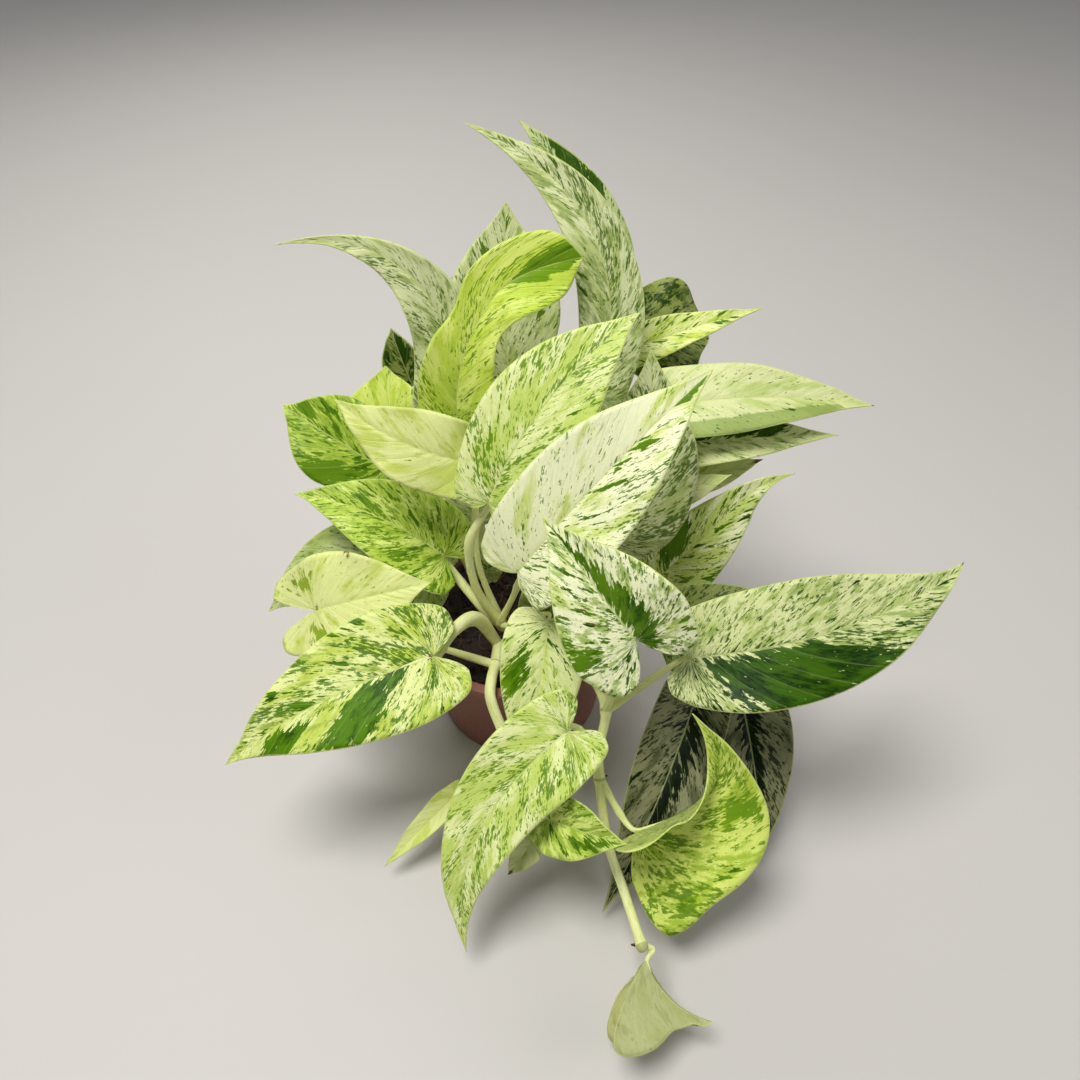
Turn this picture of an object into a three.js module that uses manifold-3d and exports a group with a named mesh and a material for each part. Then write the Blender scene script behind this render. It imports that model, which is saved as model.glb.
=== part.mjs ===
// Snow leopard pothos standing in its nursery pot. Millimetres, +Z up, the
// middle of the pot's underside at the origin, the front of the plant at -Y.

import * as THREE from 'three';
import { mergeVertices } from 'three/addons/utils/BufferGeometryUtils.js';
import Module from 'manifold-3d';

const wasm = await Module();
wasm.setup();

const TURN = 2 * Math.PI;
const DEGREE = Math.PI / 180;

// Nursery pot: a thin tapered shell with a rolled rim and a ring of drain holes.
const potHeight = 78;
const potRimRadius = 60;
const potBaseRadius = 46;
const potWall = 1.6;
const potFloor = 2.2;
const rimWidth = 4.5;
const rimDepth = 7;
const rimRound = 1;
const drainHoles = 6;
const drainHoleRadius = 3.5;
const drainRingRadius = 29;
const drainSides = 16;
const potSides = 32;

// Soil: fills the pot to a little under the rim, with a low uneven top.
const clearance = 0.3;
const soilTop = 66;
const soilWaves = [{ height: 2.6, turns: 3, shift: 4 }, { height: 2, turns: 5, shift: -6 }];
const soilSides = 32;
const soilRings = [0.2, 0.42, 0.64, 0.84, 1];
const holeMargin = 0.4;
const cutOver = 1;

// Leaf blade: the rows of a half outline, from the sinus to the tip. rib is where
// a row leaves the midrib and along where it meets the edge, both as shares of
// the length. across is its share of the half width. lean bends the row.
const bladeThickness = 0.8;
const bladeRows = [
  { rib: 0.0, across: 0.4, along: -0.13, lean: 0.85 },
  { rib: 0.02, across: 0.74, along: -0.1, lean: 0.6 },
  { rib: 0.07, across: 0.95, along: 0.04, lean: 0.4 },
  { rib: 0.15, across: 1.0, along: 0.2, lean: 0.35 },
  { rib: 0.29, across: 0.89, along: 0.42, lean: 0.35 },
  { rib: 0.46, across: 0.64, along: 0.62, lean: 0.35 },
  { rib: 0.67, across: 0.32, along: 0.8, lean: 0.35 },
  { rib: 0.83, across: 0.12, along: 0.91, lean: 0.35 },
  { rib: 1.0, across: 0.0, along: 1.0, lean: 0.35 },
];
// The curled leaf has a waist and widens again to its rolled top.
const curledRows = [
  { rib: 0.0, across: 0.4, along: -0.13, lean: 0.85 },
  { rib: 0.02, across: 0.74, along: -0.1, lean: 0.6 },
  { rib: 0.07, across: 0.92, along: 0.04, lean: 0.4 },
  { rib: 0.15, across: 1.0, along: 0.22, lean: 0.35 },
  { rib: 0.31, across: 0.84, along: 0.42, lean: 0.35 },
  { rib: 0.49, across: 0.64, along: 0.58, lean: 0.35 },
  { rib: 0.68, across: 0.82, along: 0.76, lean: 0.35 },
  { rib: 0.85, across: 0.76, along: 0.93, lean: 0.35 },
  { rib: 1.0, across: 0.0, along: 1.0, lean: 0.35 },
];
// The end leaf is folded shut along its midrib and widest near the middle.
const foldedRows = [
  { rib: 0.0, across: 0.12, along: 0.04, lean: 0.35 },
  { rib: 0.02, across: 0.25, along: 0.1, lean: 0.35 },
  { rib: 0.07, across: 0.57, along: 0.17, lean: 0.35 },
  { rib: 0.15, across: 1.0, along: 0.34, lean: 0.35 },
  { rib: 0.29, across: 0.69, along: 0.54, lean: 0.35 },
  { rib: 0.43, across: 0.29, along: 0.64, lean: 0.35 },
  { rib: 0.6, across: 0.12, along: 0.78, lean: 0.35 },
  { rib: 0.8, across: 0.1, along: 0.9, lean: 0.35 },
  { rib: 1.0, across: 0.0, along: 1.0, lean: 0.35 },
];
const bladeColumns = [0.34, 0.68, 1];
const waveCount = 1.6;
const waveShift = 2;
const fullFrom = 0.25;
const hookStart = 0.7;
const midribStep = 0.01;

// Petioles and stems.
const petioleRadius = 1.5;
const petioleSides = 6;
const petioleSteps = 5;
const petioleLean = 0.6;
const petioleBend = { behind: 4, before: 3 };
const stemSides = 8;
const stemSteps = 2;
const nodeBulge = 1.3;
const ringRows = 3;

// Every leaf: where the blade starts and ends, the way its upper face looks
// (azimuth 0 is the front, 90 the right, elevation 90 straight up), then its
// width and bends. joint is the point of the vine's path that its petiole
// leaves, via the points that the petiole passes.
const leaves = [
  { name: 'leaf_back_left_arching', base: [-36, 30, 176], tip: [-92, 54, 263], faces: [-10, 40],
    width: 32, arch: 5, sweep: 31, fold: 6, wave: 1, hook: [-4, -6], vine: 'vine_back_left', joint: 4 },
  { name: 'leaf_back_lime_curled', base: [-26, 20, 178], tip: [14, 38, 265], faces: [-5, 40],
    width: 37, rows: curledRows, arch: 10, sweep: -11, fold: 10, wave: 1.0, hook: [-10, 16],
    vine: 'vine_back_left', joint: 4, via: [[-12, 24, 158]] },
  { name: 'leaf_back_upright', base: [-2, 52, 175], tip: [-3, 78, 264], faces: [0, 25], width: 42,
    arch: 4, sweep: -2, full: 2.2, fold: 6, wave: 1, vine: 'vine_back_left', joint: 4,
    via: [[-8, 56, 158]] },
  { name: 'leaf_top_arching', base: [39, 32, 191], tip: [-20, 80, 297], faces: [10, 25], width: 30,
    arch: 10, sweep: 28, full: 0.3, fold: 8, wave: 1.4, vine: 'vine_back_right', joint: 4 },
  { name: 'leaf_pale_left', base: [-19, -2, 180], tip: [-79, 12, 205], faces: [-5, 32], width: 38,
    arch: 4, sweep: -4, full: 0.2, lobe: 0.4, fold: 4, wave: 1, vine: 'vine_centre', joint: 2,
    via: [[-19, -6, 118], [-19, 0, 150]] },
  { name: 'leaf_centre_speckled', base: [-11, -20, 172], tip: [53, 14, 247], faces: [-5, 45],
    width: 46, arch: 8, sweep: -6, full: 0.8, lobe: 0.5, fold: 3, wave: 1.2, petiole: 2,
    vine: 'vine_centre', joint: 2, via: [[-20, -16, 110], [-21, -16, 144]] },
  { name: 'leaf_centre_white', base: [2, -44, 152], tip: [78, -22, 244], faces: [-15, 45], width: 52,
    arch: 8, sweep: -1, full: 0.6, lobe: 0.3, fold: 14, wave: 1.4, vine: 'vine_centre', joint: 3,
    via: [[-1, -24, 113]] },
  { name: 'leaf_centre_grey', base: [43, 0, 128], tip: [59, 15, 229], faces: [0, 35], width: 58,
    arch: 6, sweep: 8, full: 0.5, lobe: 0.5, fold: 4, wave: 1, vine: 'vine_right', joint: 2 },
  { name: 'leaf_right_cream', base: [64, 28, 188], tip: [167, 24, 192], faces: [5, 55], width: 36,
    arch: 8, sweep: -2, lobe: 0.6, fold: 4, wave: 1.5, vine: 'vine_back_right', joint: 4 },
  { name: 'leaf_right_green_patch', base: [67, 22, 170], tip: [153, 20, 178], faces: [0, 60],
    width: 26, arch: 3, fold: 6, vine: 'vine_right', joint: 3 },
  { name: 'leaf_front_heart', base: [52, -78, 148], tip: [13, -50, 193], faces: [-8, 45], width: 54,
    arch: 4, full: -0.3, lobe: 2, fold: 16, wave: 1, vine: 'vine_front_right', joint: 4 },
  { name: 'leaf_right_large', base: [79, -70, 125], tip: [198, -45, 157], faces: [5, 55], width: 54,
    arch: 6, sweep: 8, full: 0.5, lobe: 0.7, fold: 5, wave: 1.5, vine: 'vine_front_right', joint: 4 },
  { name: 'leaf_right_lime', base: [71, 4, 89], tip: [125, 12, 169], faces: [10, 45], width: 42,
    arch: 5, full: -0.2, lobe: 0.6, fold: 6, wave: 1.2, hook: [0, 8], vine: 'vine_right', joint: 1,
    via: [[54, 13, 85]] },
  { name: 'leaf_right_hidden', base: [76, -34, 94], tip: [139, -26, 112], faces: [0, 60], width: 44,
    lobe: 0.6, fold: 4, vine: 'vine_right', joint: 1, via: [[56, -12, 92]] },
  { name: 'leaf_front_hanging', base: [24, -95, 104], tip: [-22, -158, 17], faces: [-10, 40],
    width: 42, arch: 10, sweep: 17, full: -0.3, lobe: 0.8, fold: 8, wave: 1.2,
    vine: 'vine_front_right', joint: 5 },
  { name: 'leaf_front_furled', base: [-31, -88, 33], tip: [-66, -116, 12], faces: [-10, 60], width: 14,
    arch: 2, fold: 20, vine: 'vine_front', joint: 7 },
  { name: 'leaf_front_folded', base: [16, -116, 64], tip: [49, -136, 82], faces: [0, 50], width: 30,
    arch: 2, lobe: 2.4, fold: 12, vine: 'vine_front', joint: 7 },
  { name: 'leaf_front_brown_tip', base: [8, -120, 48], tip: [-3, -130, 36], faces: [0, 50], width: 14,
    arch: 1, fold: 20, vine: 'vine_front', joint: 8 },
  { name: 'leaf_front_twisted', base: [57, -118, 54], tip: [77, -95, 119], faces: [35, 50], width: 80,
    arch: 4, sweep: 25, full: -0.9, lobe: 1, fold: 42, wave: 1.5, vine: 'vine_front_right', joint: 6 },
  { name: 'leaf_shaded_hanging', base: [90, -55, 69], tip: [42, -138, 10], faces: [0, 40], width: 40,
    arch: 10, fold: 8, wave: 1.2, vine: 'vine_right', joint: 1, via: [[54, -14, 90], [76, -34, 82]] },
  { name: 'leaf_shaded_right', base: [117, -50, 56], tip: [124, -112, 10], faces: [5, 45], width: 44,
    arch: 8, full: -0.3, fold: 6, wave: 1.2, vine: 'vine_right', joint: 1,
    via: [[58, -4, 92], [92, -18, 76]] },
  { name: 'leaf_left_large', base: [-37, -62, 115], tip: [-132, -98, 81], faces: [-10, 55], width: 56,
    arch: 10, sweep: 4, fold: 4, wave: 1.4, petiole: 2.3, vine: 'vine_front', joint: 1,
    via: [[-20, -28, 100], [-29, -46, 113]] },
  { name: 'leaf_left_yellow', base: [-97, -32, 112], tip: [-39, -32, 132], faces: [0, 50], width: 52,
    arch: 4, lobe: 3, fold: 6, wave: 1.5, vine: 'vine_front', joint: 2 },
  { name: 'leaf_left_marbled', base: [-36, -3, 119], tip: [-110, 16, 144], faces: [-8, 62], width: 46,
    arch: 8, sweep: 4, lobe: 1.2, fold: 12, wave: 1, petiole: 1.9, vine: 'vine_centre', joint: 2,
    via: [[-20, -12, 92]] },
  { name: 'leaf_left_dark', base: [-67, 34, 144], tip: [-117, 50, 173], faces: [-10, 45], width: 42,
    arch: 4, full: 1.5, fold: 6, wave: 1, vine: 'vine_left', joint: 3 },
  { name: 'leaf_left_lime', base: [-62, 46, 142], tip: [-65, 62, 188], faces: [-10, 40], width: 44,
    arch: 4, full: 1.6, fold: 8, vine: 'vine_left', joint: 3 },
  { name: 'leaf_back_left_small', base: [-55, 74, 168], tip: [-64, 84, 196], faces: [-10, 40],
    width: 20, arch: 2, full: 1, fold: 16, vine: 'vine_back_left', joint: 3 },
  { name: 'leaf_left_grey', base: [-45, 4, 99], tip: [-132, -8, 81], faces: [-5, 50], width: 52,
    arch: 8, sweep: 12, full: 0.4, fold: 6, wave: 1.4, vine: 'vine_centre', joint: 2,
    via: [[-32, 6, 91]] },
  { name: 'leaf_back_sliver', base: [-19, 70, 174], tip: [-31, 85, 224], faces: [0, 30], width: 26,
    arch: 2, fold: 6, vine: 'vine_back_left', joint: 3 },
  { name: 'leaf_back_right_dark', base: [56, 74, 198], tip: [99, 84, 190], faces: [20, 40], width: 52,
    arch: 6, full: 1.2, fold: 4, wave: 1.2, vine: 'vine_back_right', joint: 3, via: [[48, 64, 140]] },
  { name: 'leaf_back_right_narrow', base: [41, 58, 193], tip: [118, 66, 218], faces: [10, 55],
    width: 22, arch: 2, sweep: -1, fold: 16, vine: 'vine_back_right', joint: 4 },
  { name: 'leaf_top_second', base: [45, 90, 225], tip: [2, 112, 287], faces: [15, 25], width: 30,
    arch: 4, sweep: 5, fold: 6, wave: 1, vine: 'vine_back_right', joint: 4 },
  { name: 'leaf_back_right_low', base: [58, 56, 146], tip: [48, 60, 178], faces: [10, 45], width: 30,
    arch: 2, fold: 6, vine: 'vine_back_right', joint: 3 },
  { name: 'leaf_front_upright', base: [16, -50, 125], tip: [5, -84, 56], faces: [0, 35], width: 40,
    arch: 6, lobe: 0.6, fold: 6, vine: 'vine_centre', joint: 2, via: [[-2, -32, 100]] },
  { name: 'leaf_front_inner', base: [13, -24, 96], tip: [12, -14, 128], faces: [0, 40], width: 24,
    arch: 2, fold: 6, vine: 'vine_centre', joint: 2, via: [[2, -18, 86]] },
  { name: 'leaf_trailing_end', base: [58, -167, 32], tip: [87, -188, 20], faces: [-41, -14], width: 64,
    rows: foldedRows, arch: 5, fold: 70, petiole: 1.3, vine: 'vine_front_right', joint: 9 },
  { name: 'leaf_inner_grey', base: [-22, 22, 118], tip: [-34, 30, 147], faces: [0, 40], width: 26,
    arch: 2, fold: 6, vine: 'vine_left', joint: 3 },
  { name: 'leaf_inner_marbled', base: [-17, 14, 86], tip: [-12, 18, 123], faces: [0, 40], width: 16,
    arch: 2, fold: 6, vine: 'vine_back_left', joint: 1 },
  { name: 'leaf_right_pale_tip', base: [72, 12, 144], tip: [103, 8, 164], faces: [0, 50], width: 16,
    arch: 1, fold: 10, vine: 'vine_right', joint: 3 },
  { name: 'leaf_right_blush_tip', base: [87, 24, 146], tip: [120, 20, 163], faces: [0, 50], width: 18,
    arch: 1, fold: 10, vine: 'vine_right', joint: 3 },
];

// Every vine: the path of its stem from inside the soil, and its radius.
const vines = [
  { name: 'vine_centre', radius: 2.8, path: [[-6, -8, 48], [-6, -9, 66], [-8, -11, 73], [-9, -13, 79]] },
  { name: 'vine_front', radius: 2.8,
    path: [[-10, -18, 48], [-10, -22, 71], [-11, -38, 75], [-12, -52, 82], [-12, -63, 83], [-6, -75, 72],
      [0, -84, 60], [4, -90, 50], [10, -96, 44]] },
  { name: 'vine_front_right', radius: 2.4,
    path: [[22, -20, 48], [23, -26, 70], [30, -40, 80], [38, -56, 88], [43, -74, 89], [40, -86, 77],
      [40, -96, 65], [45, -120, 41], [50, -136, 38], [57, -162, 37]] },
  { name: 'vine_left', radius: 2.4, path: [[-28, 33, 48], [-29, 34, 70], [-38, 35, 92], [-46, 36, 120]] },
  { name: 'vine_back_left', radius: 2.6,
    path: [[-18, 26, 48], [-18, 27, 72], [-20, 32, 100], [-22, 34, 128], [-22, 30, 150]] },
  { name: 'vine_back_right', radius: 2.6,
    path: [[16, 28, 48], [17, 29, 72], [22, 34, 100], [28, 38, 128], [34, 40, 152]] },
  { name: 'vine_right', radius: 2.6, path: [[34, 2, 48], [36, 2, 72], [42, 2, 92], [48, 6, 118]] },
];

const finishes = {
  pot: { color: '#7a4438', roughness: 0.6 },
  soil: { color: '#2a1d16', roughness: 0.95 },
  vine: { color: '#c3cc86', roughness: 0.45 },
  leaf: { color: '#c8d69a', roughness: 0.4 },
};

const point = (xyz) => new THREE.Vector3(xyz[0], xyz[1], xyz[2]);

function material(key) {
  const { color, roughness } = finishes[key];
  return new THREE.MeshStandardMaterial({ color, roughness, metalness: 0 });
}

function solidOf(geometry) {
  const bare = geometry.clone();
  bare.deleteAttribute('normal');
  bare.deleteAttribute('uv');
  const closed = mergeVertices(bare, 1e-4);
  return new wasm.Manifold(new wasm.Mesh({
    numProp: 3,
    vertProperties: new Float32Array(closed.attributes.position.array),
    triVerts: new Uint32Array(closed.index.array),
  }));
}

function geometryOf(solid) {
  const mesh = solid.getMesh();
  const geometry = new THREE.BufferGeometry();
  geometry.setAttribute('position', new THREE.BufferAttribute(new Float32Array(mesh.vertProperties), 3));
  geometry.setIndex(new THREE.BufferAttribute(new Uint32Array(mesh.triVerts), 1));
  geometry.computeVertexNormals();
  return geometry;
}

function lathe(profile, sides) {
  const geometry = new THREE.LatheGeometry(profile.map(([r, z]) => new THREE.Vector2(r, z)), sides);
  return geometry.rotateX(Math.PI / 2);
}

function upright(radius, z0, z1, sides, x, y) {
  const geometry = new THREE.CylinderGeometry(radius, radius, z1 - z0, sides);
  return geometry.rotateX(Math.PI / 2).translate(x, y, (z0 + z1) / 2);
}

function tube(points, radius, sides, steps) {
  const outline = new THREE.Shape(Array.from({ length: sides }, (_, i) => {
    const angle = (i / sides) * TURN;
    return new THREE.Vector2(radius * Math.cos(angle), radius * Math.sin(angle));
  }));
  return new THREE.ExtrudeGeometry(outline, {
    steps,
    bevelEnabled: false,
    extrudePath: new THREE.CatmullRomCurve3(points, false, 'centripetal'),
  });
}

// Pot.
const outerRadiusAt = (z) => potBaseRadius + (potRimRadius - rimWidth - potBaseRadius) * (z / potHeight);
const innerRadiusAt = (z) => outerRadiusAt(z) - potWall;

function makePot() {
  const underRim = potHeight - rimDepth;
  const profile = [
    [0, 0],
    [potBaseRadius, 0],
    [outerRadiusAt(underRim), underRim],
    [potRimRadius - rimRound, underRim],
    [potRimRadius, underRim + rimRound],
    [potRimRadius, potHeight - rimRound],
    [potRimRadius - rimRound, potHeight],
    [innerRadiusAt(potHeight) + rimRound, potHeight],
    [innerRadiusAt(potHeight), potHeight - rimRound],
    [innerRadiusAt(potFloor), potFloor],
    [0, potFloor],
  ];
  let solid = solidOf(lathe(profile, potSides));
  for (let i = 0; i < drainHoles; i += 1) {
    const angle = (i / drainHoles) * TURN;
    const x = drainRingRadius * Math.cos(angle);
    const y = drainRingRadius * Math.sin(angle);
    solid = solid.subtract(solidOf(upright(drainHoleRadius, -cutOver, potFloor + cutOver, drainSides, x, y)));
  }
  return geometryOf(solid);
}

// Soil.
const soilHeightAt = (angle, share) => soilWaves.reduce((height, wave) => (
  height + wave.height * Math.sin(wave.turns * angle + wave.shift * share) * share * (1 - share)
), soilTop);

function makeSoil() {
  const bottom = potFloor + clearance;
  const edge = innerRadiusAt(soilTop) - clearance;
  const profile = [
    [0, bottom],
    [innerRadiusAt(bottom) - clearance, bottom],
    ...soilRings.toReversed().map((share) => [share * edge, soilTop]),
    [0, soilTop],
  ];
  const geometry = lathe(profile, soilSides);
  const spots = geometry.attributes.position;
  for (let i = 0; i < spots.count; i += 1) {
    if (spots.getZ(i) > soilTop - cutOver) {
      const share = Math.min(Math.hypot(spots.getX(i), spots.getY(i)) / edge, 1);
      spots.setZ(i, soilHeightAt(Math.atan2(spots.getY(i), spots.getX(i)), share));
    }
  }
  let solid = solidOf(geometry);
  for (const vine of vines) {
    const path = vine.path.map(point);
    path[0].z -= holeMargin;
    solid = solid.subtract(solidOf(tube(path, vine.radius + holeMargin, stemSides, path.length * stemSteps)));
  }
  return geometryOf(solid);
}

// Leaf blades.
function frameOf(leaf) {
  const { base, tip, faces, arch = 0, sweep = 0, hook = [0, 0] } = leaf;
  const [azimuth, elevation] = faces.map((angle) => angle * DEGREE);
  const start = point(base);
  const chord = point(tip).sub(start);
  const ahead = chord.clone().normalize();
  const looks = new THREE.Vector3(
    Math.sin(azimuth) * Math.cos(elevation),
    -Math.cos(azimuth) * Math.cos(elevation),
    Math.sin(elevation),
  );
  const up = looks.addScaledVector(ahead, -looks.dot(ahead)).normalize();
  const side = ahead.clone().cross(up);
  const midrib = (share) => {
    const t = Math.max(share, 0);
    const bow = 4 * t * (1 - t);
    const curl = Math.max((t - hookStart) / (1 - hookStart), 0) ** 2;
    return start.clone()
      .addScaledVector(chord, t)
      .addScaledVector(up, arch * bow + hook[0] * curl)
      .addScaledVector(side, sweep * bow + hook[1] * curl);
  };
  const frameAt = (share) => {
    const t = Math.max(share, 0);
    const near = Math.min(t, 1 - midribStep);
    const along = midrib(near + midribStep).sub(midrib(near)).normalize();
    const across = along.clone().cross(up).normalize();
    const out = across.clone().cross(along).normalize();
    const spot = midrib(t).addScaledVector(along, Math.min(share, 0) * chord.length());
    return { spot, along, across, out };
  };
  return frameAt;
}

// A point of the blade: offset is across the midrib in mm (right is positive).
function bladePoint(leaf, frameAt, offset, share) {
  const { width, fold = 0, wave = 0 } = leaf;
  const { spot, across, out } = frameAt(share);
  const reach = Math.abs(offset) / (width / 2);
  const phase = waveCount * TURN * share + (offset > 0 ? 0 : waveShift);
  const rise = Math.abs(offset) * Math.sin(fold * DEGREE) + wave * reach * reach * Math.sin(phase);
  return spot.addScaledVector(across, offset * Math.cos(fold * DEGREE)).addScaledVector(out, rise);
}

function bladeGeometry(leaf) {
  const frameAt = frameOf(leaf);
  const { rows = bladeRows, lobe = 1, full = 0 } = leaf;
  const half = leaf.width / 2;
  const columns = [...bladeColumns.toReversed().map((u) => -u), 0, ...bladeColumns];
  const grid = rows.map(({ rib, across, along, lean }) => columns.map((u) => {
    const reach = Math.abs(u);
    const far = along < 0 ? along * lobe : along;
    const share = (1 - reach) ** 2 * rib + 2 * reach * (1 - reach) * (rib + (far - rib) * lean)
      + reach * reach * far;
    const offset = u * half * across * (1 + full * (along - fullFrom));
    return bladePoint(leaf, frameAt, offset, share);
  }));
  const last = grid.length - 1;
  const tip = grid[last][0];
  const spots = [...grid.slice(0, last).flat(), tip];
  const wide = columns.length;
  const at = (row, column) => (row === last ? last * wide : row * wide + column);
  const faces = [];
  for (let row = 0; row < last; row += 1) {
    for (let column = 0; column < wide - 1; column += 1) {
      const [a, b] = [at(row, column), at(row, column + 1)];
      const [c, d] = [at(row + 1, column), at(row + 1, column + 1)];
      if (row === last - 1) {
        faces.push([a, b, c]);
      } else if (column < (wide - 1) / 2) {
        faces.push([a, b, c], [b, d, c]);
      } else {
        faces.push([a, b, d], [a, d, c]);
      }
    }
  }
  const normals = spots.map(() => new THREE.Vector3());
  for (const [a, b, c] of faces) {
    const normal = spots[b].clone().sub(spots[a]).cross(spots[c].clone().sub(spots[a]));
    [a, b, c].forEach((i) => normals[i].add(normal));
  }
  const edge = [];
  for (let column = 0; column < wide - 1; column += 1) {
    edge.push([at(0, column), at(0, column + 1)]);
  }
  for (let row = 0; row < last; row += 1) {
    edge.push([at(row, wide - 1), at(row + 1, wide - 1)]);
    edge.push([at(row + 1, 0), at(row, 0)]);
  }
  const count = spots.length;
  const corners = [];
  for (const sign of [1, -1]) {
    spots.forEach((spot, i) => {
      const corner = spot.clone().addScaledVector(normals[i].clone().normalize(), sign * bladeThickness / 2);
      corners.push(corner.x, corner.y, corner.z);
    });
  }
  const index = [];
  for (const [a, b, c] of faces) {
    index.push(a, b, c, count + a, count + c, count + b);
  }
  for (const [a, b] of edge) {
    index.push(b, a, count + a, b, count + a, count + b);
  }
  const geometry = new THREE.BufferGeometry();
  geometry.setAttribute('position', new THREE.Float32BufferAttribute(corners, 3));
  geometry.setIndex(index);
  geometry.computeVertexNormals();
  return geometry;
}

// Vines: the stem, a ring at each node and the petioles that leave it.
function petiolePath(leaf, vine) {
  const { spot, along, out } = frameOf(leaf)(0);
  const drop = clearance + bladeThickness / 2 + (leaf.petiole ?? petioleRadius) * petioleLean;
  const end = spot.clone().addScaledVector(out, -drop);
  const bend = end.clone()
    .addScaledVector(out, -petioleBend.behind)
    .addScaledVector(along, -petioleBend.before);
  const via = (leaf.via ?? []).map(point);
  return [point(vine.path[leaf.joint]), ...via, bend, end];
}

function makeVine(vine) {
  const path = vine.path.map(point);
  let solid = solidOf(tube(path, vine.radius, stemSides, path.length * stemSteps));
  const joints = new Set(leaves.filter((each) => each.vine === vine.name).map((each) => each.joint));
  for (const spot of path.filter((_, i) => joints.has(i) && i < path.length - 1)) {
    const ring = new THREE.SphereGeometry(vine.radius * nodeBulge, stemSides, ringRows);
    solid = solid.add(solidOf(ring.translate(spot.x, spot.y, spot.z)));
  }
  for (const leaf of leaves.filter((each) => each.vine === vine.name)) {
    const radius = leaf.petiole ?? petioleRadius;
    solid = solid.add(solidOf(tube(petiolePath(leaf, vine), radius, petioleSides, petioleSteps)));
  }
  return geometryOf(solid);
}

const part = new THREE.Group();
part.name = 'potted_snow_leopard_pothos';

function addMesh(name, geometry, key) {
  const mesh = new THREE.Mesh(geometry, material(key));
  mesh.name = name;
  part.add(mesh);
}

addMesh('pot', makePot(), 'pot');
addMesh('soil', makeSoil(), 'soil');
vines.forEach((vine) => addMesh(vine.name, makeVine(vine), 'vine'));
leaves.forEach((leaf) => addMesh(leaf.name, bladeGeometry(leaf), 'leaf'));

export default part;
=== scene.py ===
# Snow leopard pothos in its nursery pot: fine leaves, stems, soil and pot round the fixed frame
import math
import random
import bmesh
import bpy
from mathutils import Matrix, Vector, noise


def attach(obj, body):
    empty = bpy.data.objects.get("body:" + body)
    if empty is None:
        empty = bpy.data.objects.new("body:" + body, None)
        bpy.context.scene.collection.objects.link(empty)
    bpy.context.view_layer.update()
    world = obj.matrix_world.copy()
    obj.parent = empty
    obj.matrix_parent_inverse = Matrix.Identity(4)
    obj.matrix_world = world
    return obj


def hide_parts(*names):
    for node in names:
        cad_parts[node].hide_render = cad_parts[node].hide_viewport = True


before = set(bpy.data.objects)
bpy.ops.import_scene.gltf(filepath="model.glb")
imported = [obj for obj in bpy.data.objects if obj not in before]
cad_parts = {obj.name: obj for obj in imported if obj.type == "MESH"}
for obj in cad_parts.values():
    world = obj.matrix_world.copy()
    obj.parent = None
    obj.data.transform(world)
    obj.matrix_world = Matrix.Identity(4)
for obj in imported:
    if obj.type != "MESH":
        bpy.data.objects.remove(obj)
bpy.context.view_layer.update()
mm = 0.001

# Camera, light and floor

viewSet = {
    "place": (0.012, -0.294, 0.432), "tilt": 44.0, "lens": 28.33, "aim": (0, 0, 0.12),
    "keyPlace": (-0.3, -0.2, 1.4), "keySize": 0.6, "keyPower": 16.2,
    "fillPlace": (1.35, -0.3, 0.9), "fillSize": 1.0, "fillPower": 3.6,
    "backPlace": (-0.3, 1.0, 0.9), "backSize": 1.0, "backPower": 4.0,
    "skyTint": "#e9edf2", "skyStrength": 0.24,
    "floorSize": 9.0, "floorDrop": 0.0003, "floorTint": "#cfcac3", "floorShade": 0.1, "floorMottle": 0.12,
    "floorGrain": (3.0, 400.0), "floorRough": 0.6,
}


def tint(code):
    parts = [int(code[i:i + 2], 16) / 255 for i in (1, 3, 5)]
    linear = [p / 12.92 if p <= 0.04045 else ((p + 0.055) / 1.055) ** 2.4 for p in parts]
    return (*linear, 1.0)


def towards(color, other, share):
    return tuple(a + (b - a) * share for a, b in zip(color, other))


def addObject(name, data):
    made = bpy.data.objects.new(name, data)
    bpy.context.scene.collection.objects.link(made)
    return made


def makeLight(name, place, size, power):
    lamp = bpy.data.lights.new(name, "AREA")
    lamp.shape = "DISK"
    lamp.size = size
    lamp.energy = power
    holder = addObject(name, lamp)
    holder.location = place
    holder.rotation_euler = (Vector(viewSet["aim"]) - Vector(place)).to_track_quat("-Z", "Y").to_euler()


def makeView():
    cameraData = bpy.data.cameras.new("viewCamera")
    cameraData.sensor_width = 36.0
    cameraData.lens = viewSet["lens"]
    camera = addObject("viewCamera", cameraData)
    camera.location = viewSet["place"]
    camera.rotation_euler = (math.radians(viewSet["tilt"]), 0, 0)
    bpy.context.scene.camera = camera
    for lamp in ("key", "fill", "back"):
        makeLight(lamp + "Light", viewSet[lamp + "Place"], viewSet[lamp + "Size"], viewSet[lamp + "Power"])
    sky = bpy.data.worlds.new("softRoom")
    sky.use_nodes = True
    sky.node_tree.nodes["Background"].inputs["Color"].default_value = tint(viewSet["skyTint"])
    sky.node_tree.nodes["Background"].inputs["Strength"].default_value = viewSet["skyStrength"]
    bpy.context.scene.world = sky
    bpy.context.scene.view_settings.view_transform = "Standard"


# Node helpers

def newNode(tree, kind, **values):
    node = tree.nodes.new(kind)
    for key, value in values.items():
        setattr(node, key, value)
    return node


def feed(tree, socket, value):
    if isinstance(value, bpy.types.NodeSocket):
        tree.links.new(value, socket)
    else:
        socket.default_value = value


def calc(tree, operation, *values):
    node = newNode(tree, "ShaderNodeMath", operation=operation)
    for socket, value in zip(node.inputs, values):
        feed(tree, socket, value)
    return node.outputs[0]


def times(tree, a, b):
    return calc(tree, "MULTIPLY", a, b)


def timesPlus(tree, a, b, c):
    return calc(tree, "MULTIPLY_ADD", a, b, c)


def flip(tree, value):
    return calc(tree, "SUBTRACT", 1.0, value)


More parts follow.
